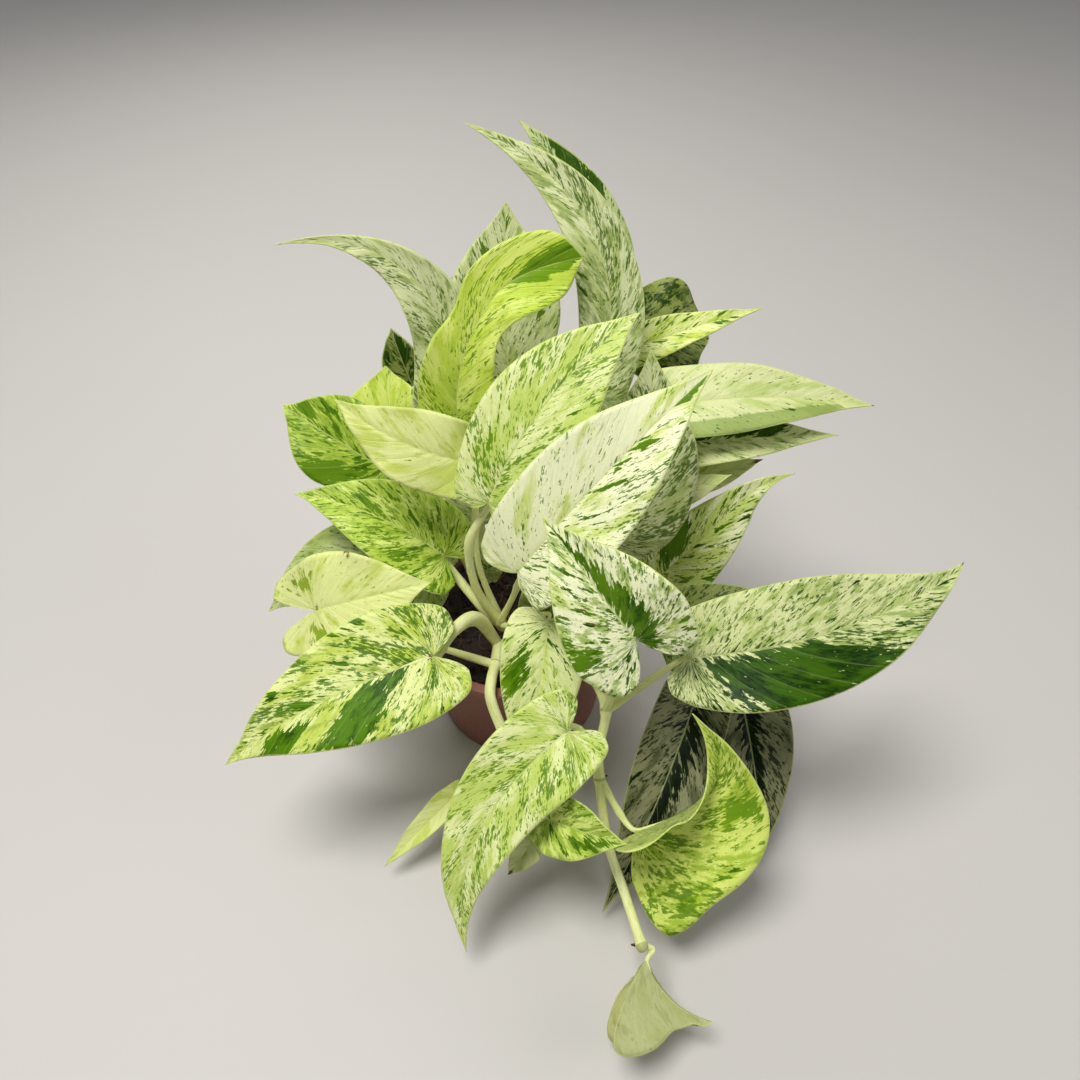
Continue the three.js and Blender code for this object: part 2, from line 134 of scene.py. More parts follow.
def stretch(tree, vector, scale, shift=(0, 0, 0)):
    node = newNode(tree, "ShaderNodeVectorMath", operation="MULTIPLY_ADD")
    for socket, value in zip(node.inputs, (vector, scale, shift)):
        feed(tree, socket, value)
    return node.outputs[0]


def scaled(tree, vector, factor):
    node = newNode(tree, "ShaderNodeVectorMath", operation="SCALE")
    feed(tree, node.inputs[0], vector)
    feed(tree, node.inputs["Scale"], factor)
    return node.outputs[0]


def ramp(tree, value, low, high):
    node = newNode(tree, "ShaderNodeMapRange", interpolation_type="SMOOTHSTEP")
    for socket, given in zip(("Value", "From Min", "From Max"), (value, low, high)):
        feed(tree, node.inputs[socket], given)
    return node.outputs[0]


def mixColor(tree, share, a, b):
    node = newNode(tree, "ShaderNodeMix", data_type="RGBA")
    for socket, given in zip(("Factor", 6, 7), (share, a, b)):
        feed(tree, node.inputs[socket], given)
    return node.outputs[2]


def speckle(tree, vector, detail, roughness=0.55):
    node = newNode(tree, "ShaderNodeTexNoise")
    for socket, given in zip(("Vector", "Scale", "Detail", "Roughness"), (vector, 1.0, detail, roughness)):
        feed(tree, node.inputs[socket], given)
    return node


def splitVector(tree, vector):
    node = newNode(tree, "ShaderNodeSeparateXYZ")
    feed(tree, node.inputs[0], vector)
    return node.outputs


def newGroup(name, inputs, outputs):
    group = bpy.data.node_groups.new(name, "ShaderNodeTree")
    for label, kind, value in inputs:
        socket = group.interface.new_socket(label, in_out="INPUT", socket_type="NodeSocket" + kind)
        if value is not None:
            socket.default_value = value
    for label, kind in outputs:
        group.interface.new_socket(label, in_out="OUTPUT", socket_type="NodeSocket" + kind)
    return group, group.nodes.new("NodeGroupInput").outputs, group.nodes.new("NodeGroupOutput").inputs


def newMaterial(name):
    material = bpy.data.materials.new(name)
    material.use_nodes = True
    return material, material.node_tree, material.node_tree.nodes["Principled BSDF"]


def dress(tree, shader, color, rough, height, depth):
    bump = newNode(tree, "ShaderNodeBump")
    for socket, given in zip(("Strength", "Distance", "Height"), (1.0, depth, height)):
        feed(tree, bump.inputs[socket], given)
    for socket, given in zip(("Base Color", "Roughness", "Normal"), (color, rough, bump.outputs[0])):
        feed(tree, shader.inputs[socket], given)


def readAttribute(tree, name):
    return newNode(tree, "ShaderNodeAttribute", attribute_name=name).outputs["Vector"]


# Fine grain of moulded plastic, stem skin, peat and paint: a broad patchiness, a fine mask and a height
grainSet = {
    "detail": 3.0, "roughness": 0.6, "broadRange": (0.3, 0.7), "fineRange": (0.35, 0.65),
    "fineHeight": 0.7, "broadHeight": 0.3,
}


def makeGrain():
    inputs = [("Place", "Vector", None), ("Broad Scale", "Float", 30.0), ("Fine Scale", "Float", 900.0)]
    outputs = [(name, "Float") for name in ("Broad", "Fine", "Height")]
    group, given, out = newGroup("fineGrain", inputs, outputs)
    broad, fine = [speckle(group, scaled(group, given["Place"], given[label]), grainSet["detail"],
                           grainSet["roughness"]).outputs[0] for label in ("Broad Scale", "Fine Scale")]
    feed(group, out["Broad"], ramp(group, broad, *grainSet["broadRange"]))
    feed(group, out["Fine"], ramp(group, fine, *grainSet["fineRange"]))
    height = timesPlus(group, fine, grainSet["fineHeight"], times(group, broad, grainSet["broadHeight"]))
    feed(group, out["Height"], height)
    return group


def addGrain(tree, grain, place, broad, fine):
    group = newNode(tree, "ShaderNodeGroup", node_tree=grain)
    for label, value in (("Place", place), ("Broad Scale", broad), ("Fine Scale", fine)):
        feed(tree, group.inputs[label], value)
    return group.outputs


# Leaf marbling: flecks and streaks drawn out along the veins, big sectors between two veins,
# a pale midrib and margin. Flow is mm across and along the veins, Blade is mm from the midrib,
# mm from the margin and the share of the length, Fields is mm inside a sector, scar and soft band.
# A grain is mm across and along the veins, detail, roughness and a shift that sets it apart.
markGrains = {
    "soft": (2.3, 7, 6.0, 0.62, (3.1, 7.7, 0)), "fleck": (0.85, 3, 3.0, 0.6, (9.3, 1.9, 0)),
    "streak": (1.7, 9, 5.0, 0.62, (5.5, 4.2, 0)), "blotch": (3.8, 11, 3.0, 0.6, (2.2, 6.1, 0)),
    "strand": (0.7, 6, 2.0, 0.55, (0.7, 2.9, 0)),
}
# A level is the noise value where a mark starts: its slope over the asked share, then its base
markSet = {
    "fieldSize": (8, 20), "fieldDetail": 2.0, "cluster": (0.34, 0.66), "fleckCrowd": (0.9, 0.55),
    "streakCrowd": (-0.8, 1.35), "markLevel": (-0.36, 0.76), "limeLevel": (-0.26, 0.6),
    "blotchLevel": (-0.22, 0.74), "toneLevel": (-0.3, 0.65), "limeEdge": 0.14, "softEdge": 0.14,
    "fleckEdge": 0.03, "streakEdge": 0.025, "blotchEdge": 0.03, "toneEdge": 0.13, "limeNoise": (0.3, 0.7),
    "toneNoise": (0.5, 0.5), "blotchBreak": 0.4, "fleckCore": (0.03, 0.16), "fleckDeep": 0.7,
    "streakCore": (0.02, 0.12), "streakDeep": 0.6, "sectorBreak": (26.0, 7.0), "sectorEdge": 0.5,
    "sectorHoles": (0.33, 0.29), "sectorVein": (0.35, 0.7), "sectorMid": 0.5, "bandBreak": 3.0,
    "bandEdge": (1.2, 2.2), "softCover": 0.85, "bandCover": 0.8, "fleckCover": 0.88, "fullCover": 1.0,
    "veinCover": 0.1, "ribCover": 0.5, "edgeCover": 0.7, "scarCover": 0.92, "scarBreak": 6.0,
    "scarEdge": (-0.2, 0.5), "skinScale": (2.6, 1.6, 1), "skinMottleShade": (0.26, 0.76), "strandMottleShade": 0.22,
    "ribWidth": (-0.45, 0.75), "ribCore": 0.4, "veinGap": 3.4, "veinWidth": 0.13, "margin": (0.15, 0.55),
    "skinHeight": 0.22, "veinHeight": -0.3, "strandHeight": 0.5, "roughRange": (0.22, 0.27),
}
# What a leaf's dictionary may say about its marks, with the usual values
markKeys = {
    "lime": ("Lime Share", 0.45), "soft": ("Soft Share", 0.4), "fleck": ("Fleck Share", 0.5),
    "streak": ("Streak Share", 0.4), "deep": ("Deep Share", 0.5), "bias": ("Right Bias", 0.0),
    "fineness": ("Fineness", 1.0),
}


def makeMarbling():
    inputs = [(name, "Vector", None) for name in ("Flow", "Blade", "Fields")]
    inputs += [(name, "Color", None) for name in ("Cream", "Lime", "Soft", "Mid", "Deep", "Rib", "Scar")]
    inputs += [(name, "Float", usual) for name, usual in markKeys.values()]
    outputs = [("Color", "Color"), ("Roughness", "Float"), ("Height", "Float")]
    group, given, out = newGroup("leafMarbling", inputs, outputs)
    flow = scaled(group, given["Flow"], given["Fineness"])
    across, edgeGap, share = splitVector(group, given["Blade"])
    sector, scar, band = splitVector(group, given["Fields"])

    def grainNoise(wide, long, detail, roughness, shift):
        place = stretch(group, flow, (1 / wide, 1 / long, 1), shift)
        return speckle(group, place, detail, roughness).outputs[0]

    def levelOf(amount, key):
        return timesPlus(group, amount, *markSet[key])

    def maskAbove(value, level, key):
        return ramp(group, value, level, calc(group, "ADD", level, markSet[key]))

    def blended(key, value, field):
        near, far = markSet[key]
        return timesPlus(group, value, near, times(group, field, far))

    def coated(color, mask, key, layer):
        return mixColor(group, times(group, mask, markSet[key]), color, layer)

    noises = [grainNoise(*grain) for grain in markGrains.values()]
    softNoise, fleckNoise, streakNoise, blotchNoise, strand = noises
    fieldWide, fieldLong = markSet["fieldSize"]
    fields = newNode(group, "ShaderNodeSeparateColor")
    fieldPlace = stretch(group, flow, (1 / fieldWide, 1 / fieldLong, 1))
    feed(group, fields.inputs[0], speckle(group, fieldPlace, markSet["fieldDetail"]).outputs["Color"])
    limeField, clusterField, toneField = fields.outputs
    cluster = ramp(group, clusterField, *markSet["cluster"])
    bias = timesPlus(group, calc(group, "SIGN", across), given["Right Bias"], 1.0)
    fleckSwing = calc(group, "SUBTRACT", fleckNoise, 0.5)
    streakSwing = calc(group, "SUBTRACT", streakNoise, 0.5)

    limeMask = maskAbove(blended("limeNoise", softNoise, limeField), levelOf(given["Lime Share"], "limeLevel"),
                         "limeEdge")
    softMask = maskAbove(softNoise, levelOf(given["Soft Share"], "markLevel"), "softEdge")
    fleckAmount = times(group, levelOf(cluster, "fleckCrowd"), given["Fleck Share"])
    fleckLevel = levelOf(times(group, fleckAmount, bias), "markLevel")
    fleckMask = maskAbove(fleckNoise, fleckLevel, "fleckEdge")
    streakAmount = times(group, levelOf(cluster, "streakCrowd"), given["Streak Share"])
    streakLevel = levelOf(times(group, streakAmount, bias), "markLevel")
    streakMask = maskAbove(streakNoise, streakLevel, "streakEdge")
    blotch = timesPlus(group, streakSwing, markSet["blotchBreak"], blotchNoise)
    blotchLevel = levelOf(times(group, given["Streak Share"], bias), "blotchLevel")
    blotchMask = maskAbove(blotch, blotchLevel, "blotchEdge")
    tone = maskAbove(blended("toneNoise", softNoise, toneField), levelOf(given["Deep Share"], "toneLevel"),
                     "toneEdge")
    fleckCore = ramp(group, calc(group, "SUBTRACT", fleckNoise, fleckLevel), *markSet["fleckCore"])
    fleckColor = coated(given["Mid"], fleckCore, "fleckDeep", given["Deep"])
    streakCore = ramp(group, calc(group, "SUBTRACT", streakNoise, streakLevel), *markSet["streakCore"])
    streakDeep = calc(group, "MAXIMUM", times(group, streakCore, markSet["streakDeep"]), tone)
    streakColor = mixColor(group, streakDeep, given["Mid"], given["Deep"])

    ragged = sector
    for swing, size in zip((streakSwing, fleckSwing), markSet["sectorBreak"]):
        ragged = timesPlus(group, swing, size, ragged)
    holes = ramp(group, fleckNoise, *markSet["sectorHoles"])
    sectorMask = times(group, ramp(group, ragged, 0.0, markSet["sectorEdge"]), flip(group, holes))
    sectorColor = mixColor(group, tone, given["Mid"], given["Deep"])
    veinTone = ramp(group, fleckNoise, *markSet["sectorVein"])
    sectorColor = coated(sectorColor, veinTone, "sectorMid", given["Mid"])
    bandMask = ramp(group, timesPlus(group, softNoise, markSet["bandBreak"], band), *markSet["bandEdge"])

    color = mixColor(group, limeMask, given["Cream"], given["Lime"])
    color = coated(color, softMask, "softCover", given["Soft"])
    color = coated(color, bandMask, "bandCover", given["Soft"])
    color = coated(color, fleckMask, "fleckCover", fleckColor)
    color = coated(color, calc(group, "MAXIMUM", streakMask, blotchMask), "fullCover", streakColor)
    color = coated(color, sectorMask, "fullCover", sectorColor)

    # The skin and strand noises raise the bump and also scale the colour: the leaf's own fine mottle plus
    # painted shade, darker where the bump is low and lighter where it is raised
    skin = speckle(group, stretch(group, given["Flow"], markSet["skinScale"]), 2.0).outputs[0]
    mottleAndReliefShade = timesPlus(group, strand, markSet["strandMottleShade"], levelOf(skin, "skinMottleShade"))
    color = scaled(group, color, mottleAndReliefShade)
    ribHalf = levelOf(share, "ribWidth")
    ribStart = times(group, ribHalf, markSet["ribCore"])
    ribMask = flip(group, ramp(group, calc(group, "ABSOLUTE", across), ribStart, ribHalf))
    veinCount = times(group, splitVector(group, given["Flow"])[0], 1 / markSet["veinGap"])
    veinLine = flip(group, ramp(group, calc(group, "PINGPONG", veinCount, 1.0), 0.0, markSet["veinWidth"]))
    color = coated(color, veinLine, "veinCover", given["Rib"])
    color = coated(color, ribMask, "ribCover", given["Rib"])
    color = coated(color, flip(group, ramp(group, edgeGap, *markSet["margin"])), "edgeCover", given["Rib"])
    scarPlace = timesPlus(group, fleckSwing, markSet["scarBreak"], scar)
    color = coated(color, ramp(group, scarPlace, *markSet["scarEdge"]), "scarCover", given["Scar"])

    height = timesPlus(group, skin, markSet["skinHeight"], times(group, veinLine, markSet["veinHeight"]))
    feed(group, out["Height"], timesPlus(group, strand, markSet["strandHeight"], height))
    feed(group, out["Roughness"], levelOf(softNoise, "roughRange"))
    feed(group, out["Color"], color)
    return group


# Leaf colours: cream, lime, soft grey-green, mid green, deep green
leafTones = {
    "white": ("#fbfdcc", "#d2e07e", "#9cb658", "#5c8212", "#234c00"),
    "cream": ("#d8dd9e", "#bdcb7a", "#8ca24c", "#3c6208", "#0e2c00"),
    "silver": ("#d8dda8", "#bac67c", "#8a9c54", "#5d7a1e", "#2a4c06"),
    "limeCream": ("#eef5ac", "#cbdd70", "#a8c24c", "#729a16", "#3e6c04"),
    "yellow": ("#e4ea98", "#ccd86c", "#b2c250", "#92aa2e", "#688a14"),
    "lime": ("#e2f078", "#c8de50", "#a6c238", "#759c1a", "#3e6c06"),
    "green": ("#dae87c", "#b8d050", "#92ae36", "#668b16", "#386303"),
    "marbled": ("#e8ef9e", "#c6d65c", "#96ac42", "#57830a", "#234a00"),
    "grey": ("#c4ce92", "#abbb68", "#859850", "#587a24", "#294c06"),
    "dark": ("#8c9650", "#64762a", "#3e5818", "#264206", "#0c2400"),
    # shade is painted shade: darker copies of the leaf colours, for the leaves that hang in shade under the
    # leaves above
    "shade": ("#888864", "#585c3c", "#343c20", "#142806", "#030900"),
    "dry": ("#bebf80", "#afb266", "#9a9e52", "#808c2c", "#5e721a"),
}
leafFinish = {
    "rib": "#dbe492", "ribLime": 0.35, "scar": "#6b4a2c", "underGrey": "#b6bf8c", "underShare": 0.38,
    "underRough": 0.18, "skin": 0.0003, "gloss": 0.13, "subsurface": 0.07, "glow": (0.8, 1.0, 0.25),
    "glowDepth": 0.0016,
}


def setGlow(shader, look):
    shader.inputs["Specular IOR Level"].default_value = look["gloss"]
    shader.inputs["Subsurface Weight"].default_value = look["subsurface"]
    shader.inputs["Subsurface Radius"].default_value = look["glow"]
    shader.inputs["Subsurface Scale"].default_value = look["glowDepth"]


def makeLeafMaterial(leaf, marbling, under):
    material, tree, shader = newMaterial(leaf["name"] + ("Underside" if under else "Upper"))
    group = newNode(tree, "ShaderNodeGroup", node_tree=marbling)
    for socket, attribute in (("Flow", "veinFlow"), ("Blade", "bladePlace"), ("Fields", "markFields")):
        feed(tree, group.inputs[socket], readAttribute(tree, attribute))
    tones = [tint(code) for code in leafTones[leaf["tone"]]]
    dull = leafFinish["underShare"] if under else 0.0
    for socket, color in zip(("Cream", "Lime", "Soft", "Mid", "Deep"), tones):
        group.inputs[socket].default_value = towards(color, tint(leafFinish["underGrey"]), dull)
    group.inputs["Rib"].default_value = towards(tint(leafFinish["rib"]), tones[1], leafFinish["ribLime"])
    group.inputs["Scar"].default_value = tint(leafFinish["scar"])
    for key, (socket, usual) in markKeys.items():
        group.inputs[socket].default_value = leaf.get(key, usual)
    color, rough, height = group.outputs
    rough = calc(tree, "ADD", rough, leafFinish["underRough"] if under else 0.0)
    dress(tree, shader, color, rough, height, leafFinish["skin"])
    setGlow(shader, leafFinish)
    return material


# Blades. The rows of a half outline, from the sinus to the tip: rib is where a vein leaves the
# midrib and along where it meets the margin, as shares of the length, across its share of the
# half width, and lean bends it.
bladeForms = {
    "plain": [(0, 0.4, -0.13, 0.85), (0.02, 0.74, -0.1, 0.6), (0.07, 0.95, 0.04, 0.4), (0.15, 1, 0.2, 0.35),
              (0.29, 0.89, 0.42, 0.35), (0.46, 0.64, 0.62, 0.35), (0.67, 0.32, 0.8, 0.35),
              (0.83, 0.12, 0.91, 0.35), (1, 0, 1, 0.35)],
    "curled": [(0, 0.4, -0.13, 0.85), (0.02, 0.74, -0.1, 0.6), (0.07, 0.92, 0.04, 0.4), (0.15, 1, 0.22, 0.35),
               (0.31, 0.84, 0.42, 0.35), (0.49, 0.64, 0.58, 0.35), (0.68, 0.82, 0.76, 0.35),
               (0.85, 0.76, 0.93, 0.35), (1, 0, 1, 0.35)],
    "folded": [(0, 0.12, 0.04, 0.35), (0.02, 0.25, 0.1, 0.35), (0.07, 0.57, 0.17, 0.35), (0.15, 1, 0.34, 0.35),
               (0.29, 0.69, 0.54, 0.35), (0.43, 0.29, 0.64, 0.35), (0.6, 0.12, 0.78, 0.35),
               (0.8, 0.1, 0.9, 0.35), (1, 0, 1, 0.35)],
}
bladeSet = {
    "columns": 30, "rows": 90, "gather": 1.35, "fullFrom": 0.25, "hookStart": 0.7, "nibStart": 0.86,
    "ribStep": 0.01, "waveCount": 1.6, "waveShift": 2.0, "ruffleStep": 0.3, "ruffleStart": 0.2,
    "groove": 0.5, "grooveWidth": 1.0, "grooveFade": 0.6, "narrowHalf": 6, "veins": 11, "veinStagger": 0.4,
    "quilt": 0.26, "quiltMiddle": 0.6, "quiltStart": 0.08, "ripple": 0.9, "ripples": 3.6,
    "rippleTurn": 1.7, "rippleShift": 1.9, "veinAngles": (64, 27), "veinSettle": 0.4, "veinBend": 0.3,
    "fanShare": 0.22, "leafShift": 7.3, "sideShift": 3.7, "unmarked": -40.0, "unscarred": -20.0,
    "thick": 1.5, "thinShare": 0.36, "ribWidth": 1.3, "ribFade": 0.7, "sink": -0.6, "weld": 0.01,
}

# Every leaf: its name, where the blade starts and ends, the way its upper face looks (azimuth 0 is
# the front, elevation 90 straight up), its width, the vine and joint that its petiole leaves, its
# tones and its shares of flecks, streaks and soft green, then its bends in mm and degrees, the
# points that the petiole passes (via) and the other marks. patches are big green sectors and bands
# soft grey ones: the veins that bound them as shares of the length, negative in the basal lobes,
# then the reach from -1 (left) to 1 (right). scars are brown bits: vein, reach and radius in mm.
leafColumns = ("name", "base", "tip", "faces", "width", "vine", "joint", "tone", "fleck", "streak", "soft")
leafTable = [
    ("back_left_arching", (-36, 30, 176), (-92, 54, 263), (-10, 40), 32, "back_left", 4, "silver", 0.5, 0.22,
     0.7, dict(arch=5, sweep=31, fold=6, wave=1, hook=(-4, -6), nib=-7, lime=0.4)),
    ("back_lime_curled", (-26, 20, 178), (14, 38, 265), (-5, 40), 37, "back_left", 4, "lime", 0.48, 0.25,
     0.6, dict(form="curled", arch=10, sweep=-11, fold=10, wave=1.0, hook=(-10, 16), via=[(-12, 24, 158)],
     lime=0.7, patches=[(0.78, 1.1, -1.1, 0.5)])),
    ("back_upright", (-2, 52, 175), (-3, 78, 264), (0, 25), 42, "back_left", 4, "silver", 0.36, 0.34, 0.6,
     dict(arch=4, sweep=-2, full=2.2, fold=6, wave=1, via=[(-8, 56, 158)],
     patches=[(0.5, 0.62, -0.9, -0.3)])),
    ("top_arching", (39, 32, 191), (-20, 80, 297), (10, 25), 30, "back_right", 4, "silver", 0.48, 0.37, 0.8,
     dict(arch=10, sweep=28, full=0.3, fold=8, wave=1.4, bias=0.15)),
    ("pale_left", (-19, -2, 180), (-79, 12, 205), (-5, 32), 38, "centre", 2, "yellow", 0.16, 0.2, 0.6,
     dict(arch=4, sweep=-4, full=0.2, lobe=0.4, fold=4, wave=1, via=[(-19, -6, 118), (-19, 0, 150)],
     lime=0.6)),
    ("centre_speckled", (-11, -20, 172), (53, 14, 247), (-5, 45), 46, "centre", 2, "limeCream", 0.53, 0.34,
     0.55, dict(arch=8, sweep=-6, full=0.8, lobe=0.5, fold=3, wave=1.2, petiole=2,
     via=[(-20, -16, 110), (-21, -16, 144)], lime=0.6)),
    ("centre_white", (2, -44, 152), (78, -22, 244), (-15, 45), 52, "centre", 3, "white", 0.42, 0.34, 0.5,
     dict(arch=8, sweep=-1, full=0.6, lobe=0.3, fold=14, wave=1.4, via=[(-1, -24, 113)], lime=0.4, bias=0.2,
     patches=[(0.4, 0.44, 0.05, 0.6), (0.6, 0.68, 0.03, 0.5), (0.84, 0.97, 0.05, 0.7)])),
    ("centre_grey", (43, 0, 128), (59, 15, 229), (0, 35), 58, "right", 2, "silver", 0.58, 0.4, 0.7,
     dict(arch=6, sweep=8, full=0.5, lobe=0.5, fold=4, wave=1, fineness=1.1)),
    ("right_cream", (64, 28, 188), (167, 24, 192), (5, 55), 36, "back_right", 4, "cream", 0.29, 0.15, 0.45,
     dict(arch=8, sweep=-2, lobe=0.6, fold=4, wave=1.5, bands=[(0.0, 0.8, 0.55, 1.1)],
     scars=[(1.0, 0.0, 1.8)])),
    ("right_green_patch", (67, 22, 170), (153, 20, 178), (0, 60), 26, "right", 3, "cream", 0.32, 0.31, 0.8,
     dict(arch=3, fold=6, deep=0.8, patches=[(0.2, 0.62, -1.1, -0.12)])),
    ("front_heart", (52, -78, 148), (13, -50, 193), (-8, 45), 54, "front_right", 4, "white", 0.5, 0.46, 0.8,
     dict(arch=4, full=-0.3, lobe=2, fold=16, wave=1, deep=0.7, lime=0.35,
     patches=[(-0.6, 1.1, 0.02, 0.42), (-0.12, 0.0, -1.0, -0.6)], scars=[(0.36, -0.3, 0.8),
      (0.2, -0.5, 0.7), (0.3, -0.12, 0.6), (0.12, -0.42, 0.9)])),
    ("right_large", (79, -70, 125), (198, -45, 157), (5, 55), 54, "front_right", 4, "cream", 0.5, 0.42, 0.8,
     dict(arch=6, sweep=8, full=0.5, lobe=0.7, fold=5, wave=1.5, nib=-2.5, deep=0.7,
     patches=[(0.02, 0.4, 0.02, 1.1)], bias=0.1, scars=[(1.0, 0.0, 1.6)])),
    ("right_lime", (71, 4, 89), (125, 12, 169), (10, 45), 42, "right", 1, "white", 0.46, 0.45, 0.3,
     dict(arch=5, full=-0.2, lobe=0.6, fold=6, wave=1.2, hook=(0, 8), nib=2, via=[(54, 13, 85)], lime=0.8,
     patches=[(0.1, 0.3, -0.8, 0.0)])),
    ("right_hidden", (76, -34, 94), (139, -26, 112), (0, 60), 44, "right", 1, "dark", 0.48, 0.37, 0.6,
     dict(lobe=0.6, fold=4, via=[(56, -12, 92)])),
    ("front_hanging", (24, -95, 104), (-22, -158, 17), (-10, 40), 42, "front_right", 5, "limeCream", 0.6,
     0.2, 0.5, dict(arch=10, sweep=17, full=-0.3, lobe=0.8, fold=8, wave=1.2, lime=0.7, fineness=1.25)),
    ("front_furled", (-31, -88, 33), (-66, -116, 12), (-10, 60), 14, "front", 7, "yellow", 0.16, 0.12, 0.4,
     dict(arch=2, fold=20, lime=0.7)),
    ("front_folded", (16, -116, 64), (49, -136, 82), (0, 50), 30, "front", 7, "green", 0.5, 0.4, 0.9,
     dict(arch=2, lobe=2.4, fold=12, deep=0.8, patches=[(0.2, 1.0, 0.3, 0.75)])),
    ("front_brown_tip", (8, -120, 48), (-3, -130, 36), (0, 50), 14, "front", 8, "cream", 0.16, 0.19, 0.5,
     dict(arch=1, fold=20, scars=[(0.95, 0.0, 3.5)])),
    ("front_twisted", (57, -118, 54), (77, -95, 119), (35, 50), 80, "front_right", 6, "lime", 0.58, 0.34,
     0.8, dict(arch=4, sweep=25, full=-0.9, lobe=1, fold=42, wave=1.5, ruffle=0.09, lime=0.45,
     patches=[(0.1, 0.24, 0.45, 0.9)])),
    ("shaded_hanging", (90, -55, 69), (42, -138, 10), (0, 40), 40, "right", 1, "shade", 0.56, 0.37, 0.6,
     dict(arch=10, fold=8, wave=1.2, via=[(54, -14, 90), (76, -34, 82)], deep=0.9,
     patches=[(-0.6, 1.0, -0.42, 0.06)])),
    ("shaded_right", (117, -50, 56), (124, -112, 10), (5, 45), 44, "right", 1, "shade", 0.56, 0.34, 0.6,
     dict(arch=8, full=-0.3, fold=6, wave=1.2, via=[(58, -4, 92), (92, -18, 76)], deep=0.9,
     patches=[(-0.6, 0.9, -0.3, 0.2), (0.1, 0.4, 0.7, 1.1)])),
    ("left_large", (-37, -62, 115), (-132, -98, 81), (-10, 55), 56, "front", 1, "marbled", 0.55, 0.36, 0.7,
     dict(arch=10, sweep=4, fold=4, wave=1.4, petiole=2.3, sheathed=0.6,
     via=[(-20, -28, 100), (-29, -46, 113)], lime=0.6, deep=0.6, bias=0.1,
     patches=[(0.1, 0.3, -1.05, -0.04), (0.44, 0.72, -1.1, -0.3), (-0.1, -0.02, -0.5, 0.0),
      (0.48, 0.56, 0.05, 0.6)], scars=[(0.0, 0.0, 2.2)])),
    ("left_yellow", (-97, -32, 112), (-39, -32, 132), (0, 50), 52, "front", 2, "yellow", 0.24, 0.19, 0.5,
     dict(arch=4, lobe=3, fold=6, wave=1.5, lime=0.35, patches=[(-0.25, -0.1, -0.75, -0.45),
      (-0.2, -0.05, 0.35, 0.7)], scars=[(0.0, -0.05, 1.6), (-0.2, 0.7, 1.2), (0.06, -0.98, 1.0)])),
    ("left_marbled", (-36, -3, 119), (-110, 16, 144), (-8, 62), 46, "centre", 2, "green", 0.5, 0.5, 0.8,
     dict(arch=8, sweep=4, lobe=1.2, fold=12, wave=1, petiole=1.9, via=[(-20, -12, 92)], lime=0.8,
     patches=[(0.4, 0.52, 0.1, 0.6), (0.05, 0.13, -0.7, -0.2)])),
    ("left_dark", (-67, 34, 144), (-117, 50, 173), (-10, 45), 42, "left", 3, "green", 0.5, 0.55, 1.0,
     dict(arch=4, full=1.5, fold=6, wave=1, lime=0.9, patches=[(0.0, 0.2, -1.1, -0.3),
      (0.5, 0.8, 0.3, 1.1)])),
    ("left_lime", (-62, 46, 142), (-65, 62, 188), (-10, 40), 44, "left", 3, "lime", 0.44, 0.28, 0.6,
     dict(arch=4, full=1.6, fold=8, lime=0.6)),
    ("back_left_small", (-55, 74, 168), (-64, 84, 196), (-10, 40), 20, "back_left", 3, "dark", 0.56, 0.5,
     0.6, dict(arch=2, full=1, fold=16, patches=[(0.2, 0.8, 0.0, 1.0)])),
    ("left_grey", (-45, 4, 99), (-132, -8, 81), (-5, 50), 52, "centre", 2, "grey", 0.32, 0.45, 0.7,
     dict(arch=8, sweep=12, full=0.4, fold=6, wave=1.4, via=[(-32, 6, 91)], deep=0.8)),
    ("back_sliver", (-19, 70, 174), (-31, 85, 224), (0, 30), 26, "back_left", 3, "silver", 0.32, 0.25, 0.8,
     dict(arch=2, fold=6)),
    ("back_right_dark", (56, 74, 198), (99, 84, 190), (20, 40), 52, "back_right", 3, "dark", 0.56, 0.43, 0.8,
     dict(arch=6, full=1.2, fold=4, wave=1.2, via=[(48, 64, 140)])),
    ("back_right_narrow", (41, 58, 193), (118, 66, 218), (10, 55), 22, "back_right", 4, "marbled", 0.4, 0.46,
     0.6, dict(arch=2, sweep=-1, fold=16, lime=0.6)),
    ("top_second", (45, 90, 225), (2, 112, 287), (15, 25), 30, "back_right", 4, "grey", 0.48, 0.37, 0.7,
     dict(arch=4, sweep=5, fold=6, wave=1, deep=1.0, patches=[(0.2, 0.7, 0.2, 1.1)])),
    ("back_right_low", (58, 56, 146), (48, 60, 178), (10, 45), 30, "back_right", 3, "dark", 0.48, 0.43, 0.7,
     dict(arch=2, fold=6)),
    ("front_upright", (16, -50, 125), (5, -84, 56), (0, 35), 40, "centre", 2, "limeCream", 0.4, 0.4, 0.6,
     dict(arch=6, lobe=0.6, fold=6, via=[(-2, -32, 100)], deep=0.8, patches=[(0.05, 0.25, 0.4, 1.0)])),
    ("front_inner", (13, -24, 96), (12, -14, 128), (0, 40), 24, "centre", 2, "dark", 0.48, 0.37, 0.6,
     dict(arch=2, fold=6, via=[(2, -18, 86)])),
    ("trailing_end", (58, -167, 32), (87, -188, 20), (-41, -14), 64, "front_right", 9, "dry", 0.2, 0.19, 0.7,
     dict(form="folded", arch=5, fold=70, petiole=1.3, patches=[(-0.5, -0.3, 0.6, 0.9),
      (-0.5, -0.3, -0.9, -0.6)])),
    ("inner_grey", (-22, 22, 118), (-34, 30, 147), (0, 40), 26, "left", 3, "grey", 0.4, 0.31, 0.8,
     dict(arch=2, fold=6)),
    ("inner_marbled", (-17, 14, 86), (-12, 18, 123), (0, 40), 16, "back_left", 1, "grey", 0.4, 0.37, 0.6,
     dict(arch=2, fold=6, patches=[(0.1, 0.9, 0.0, 0.5)])),
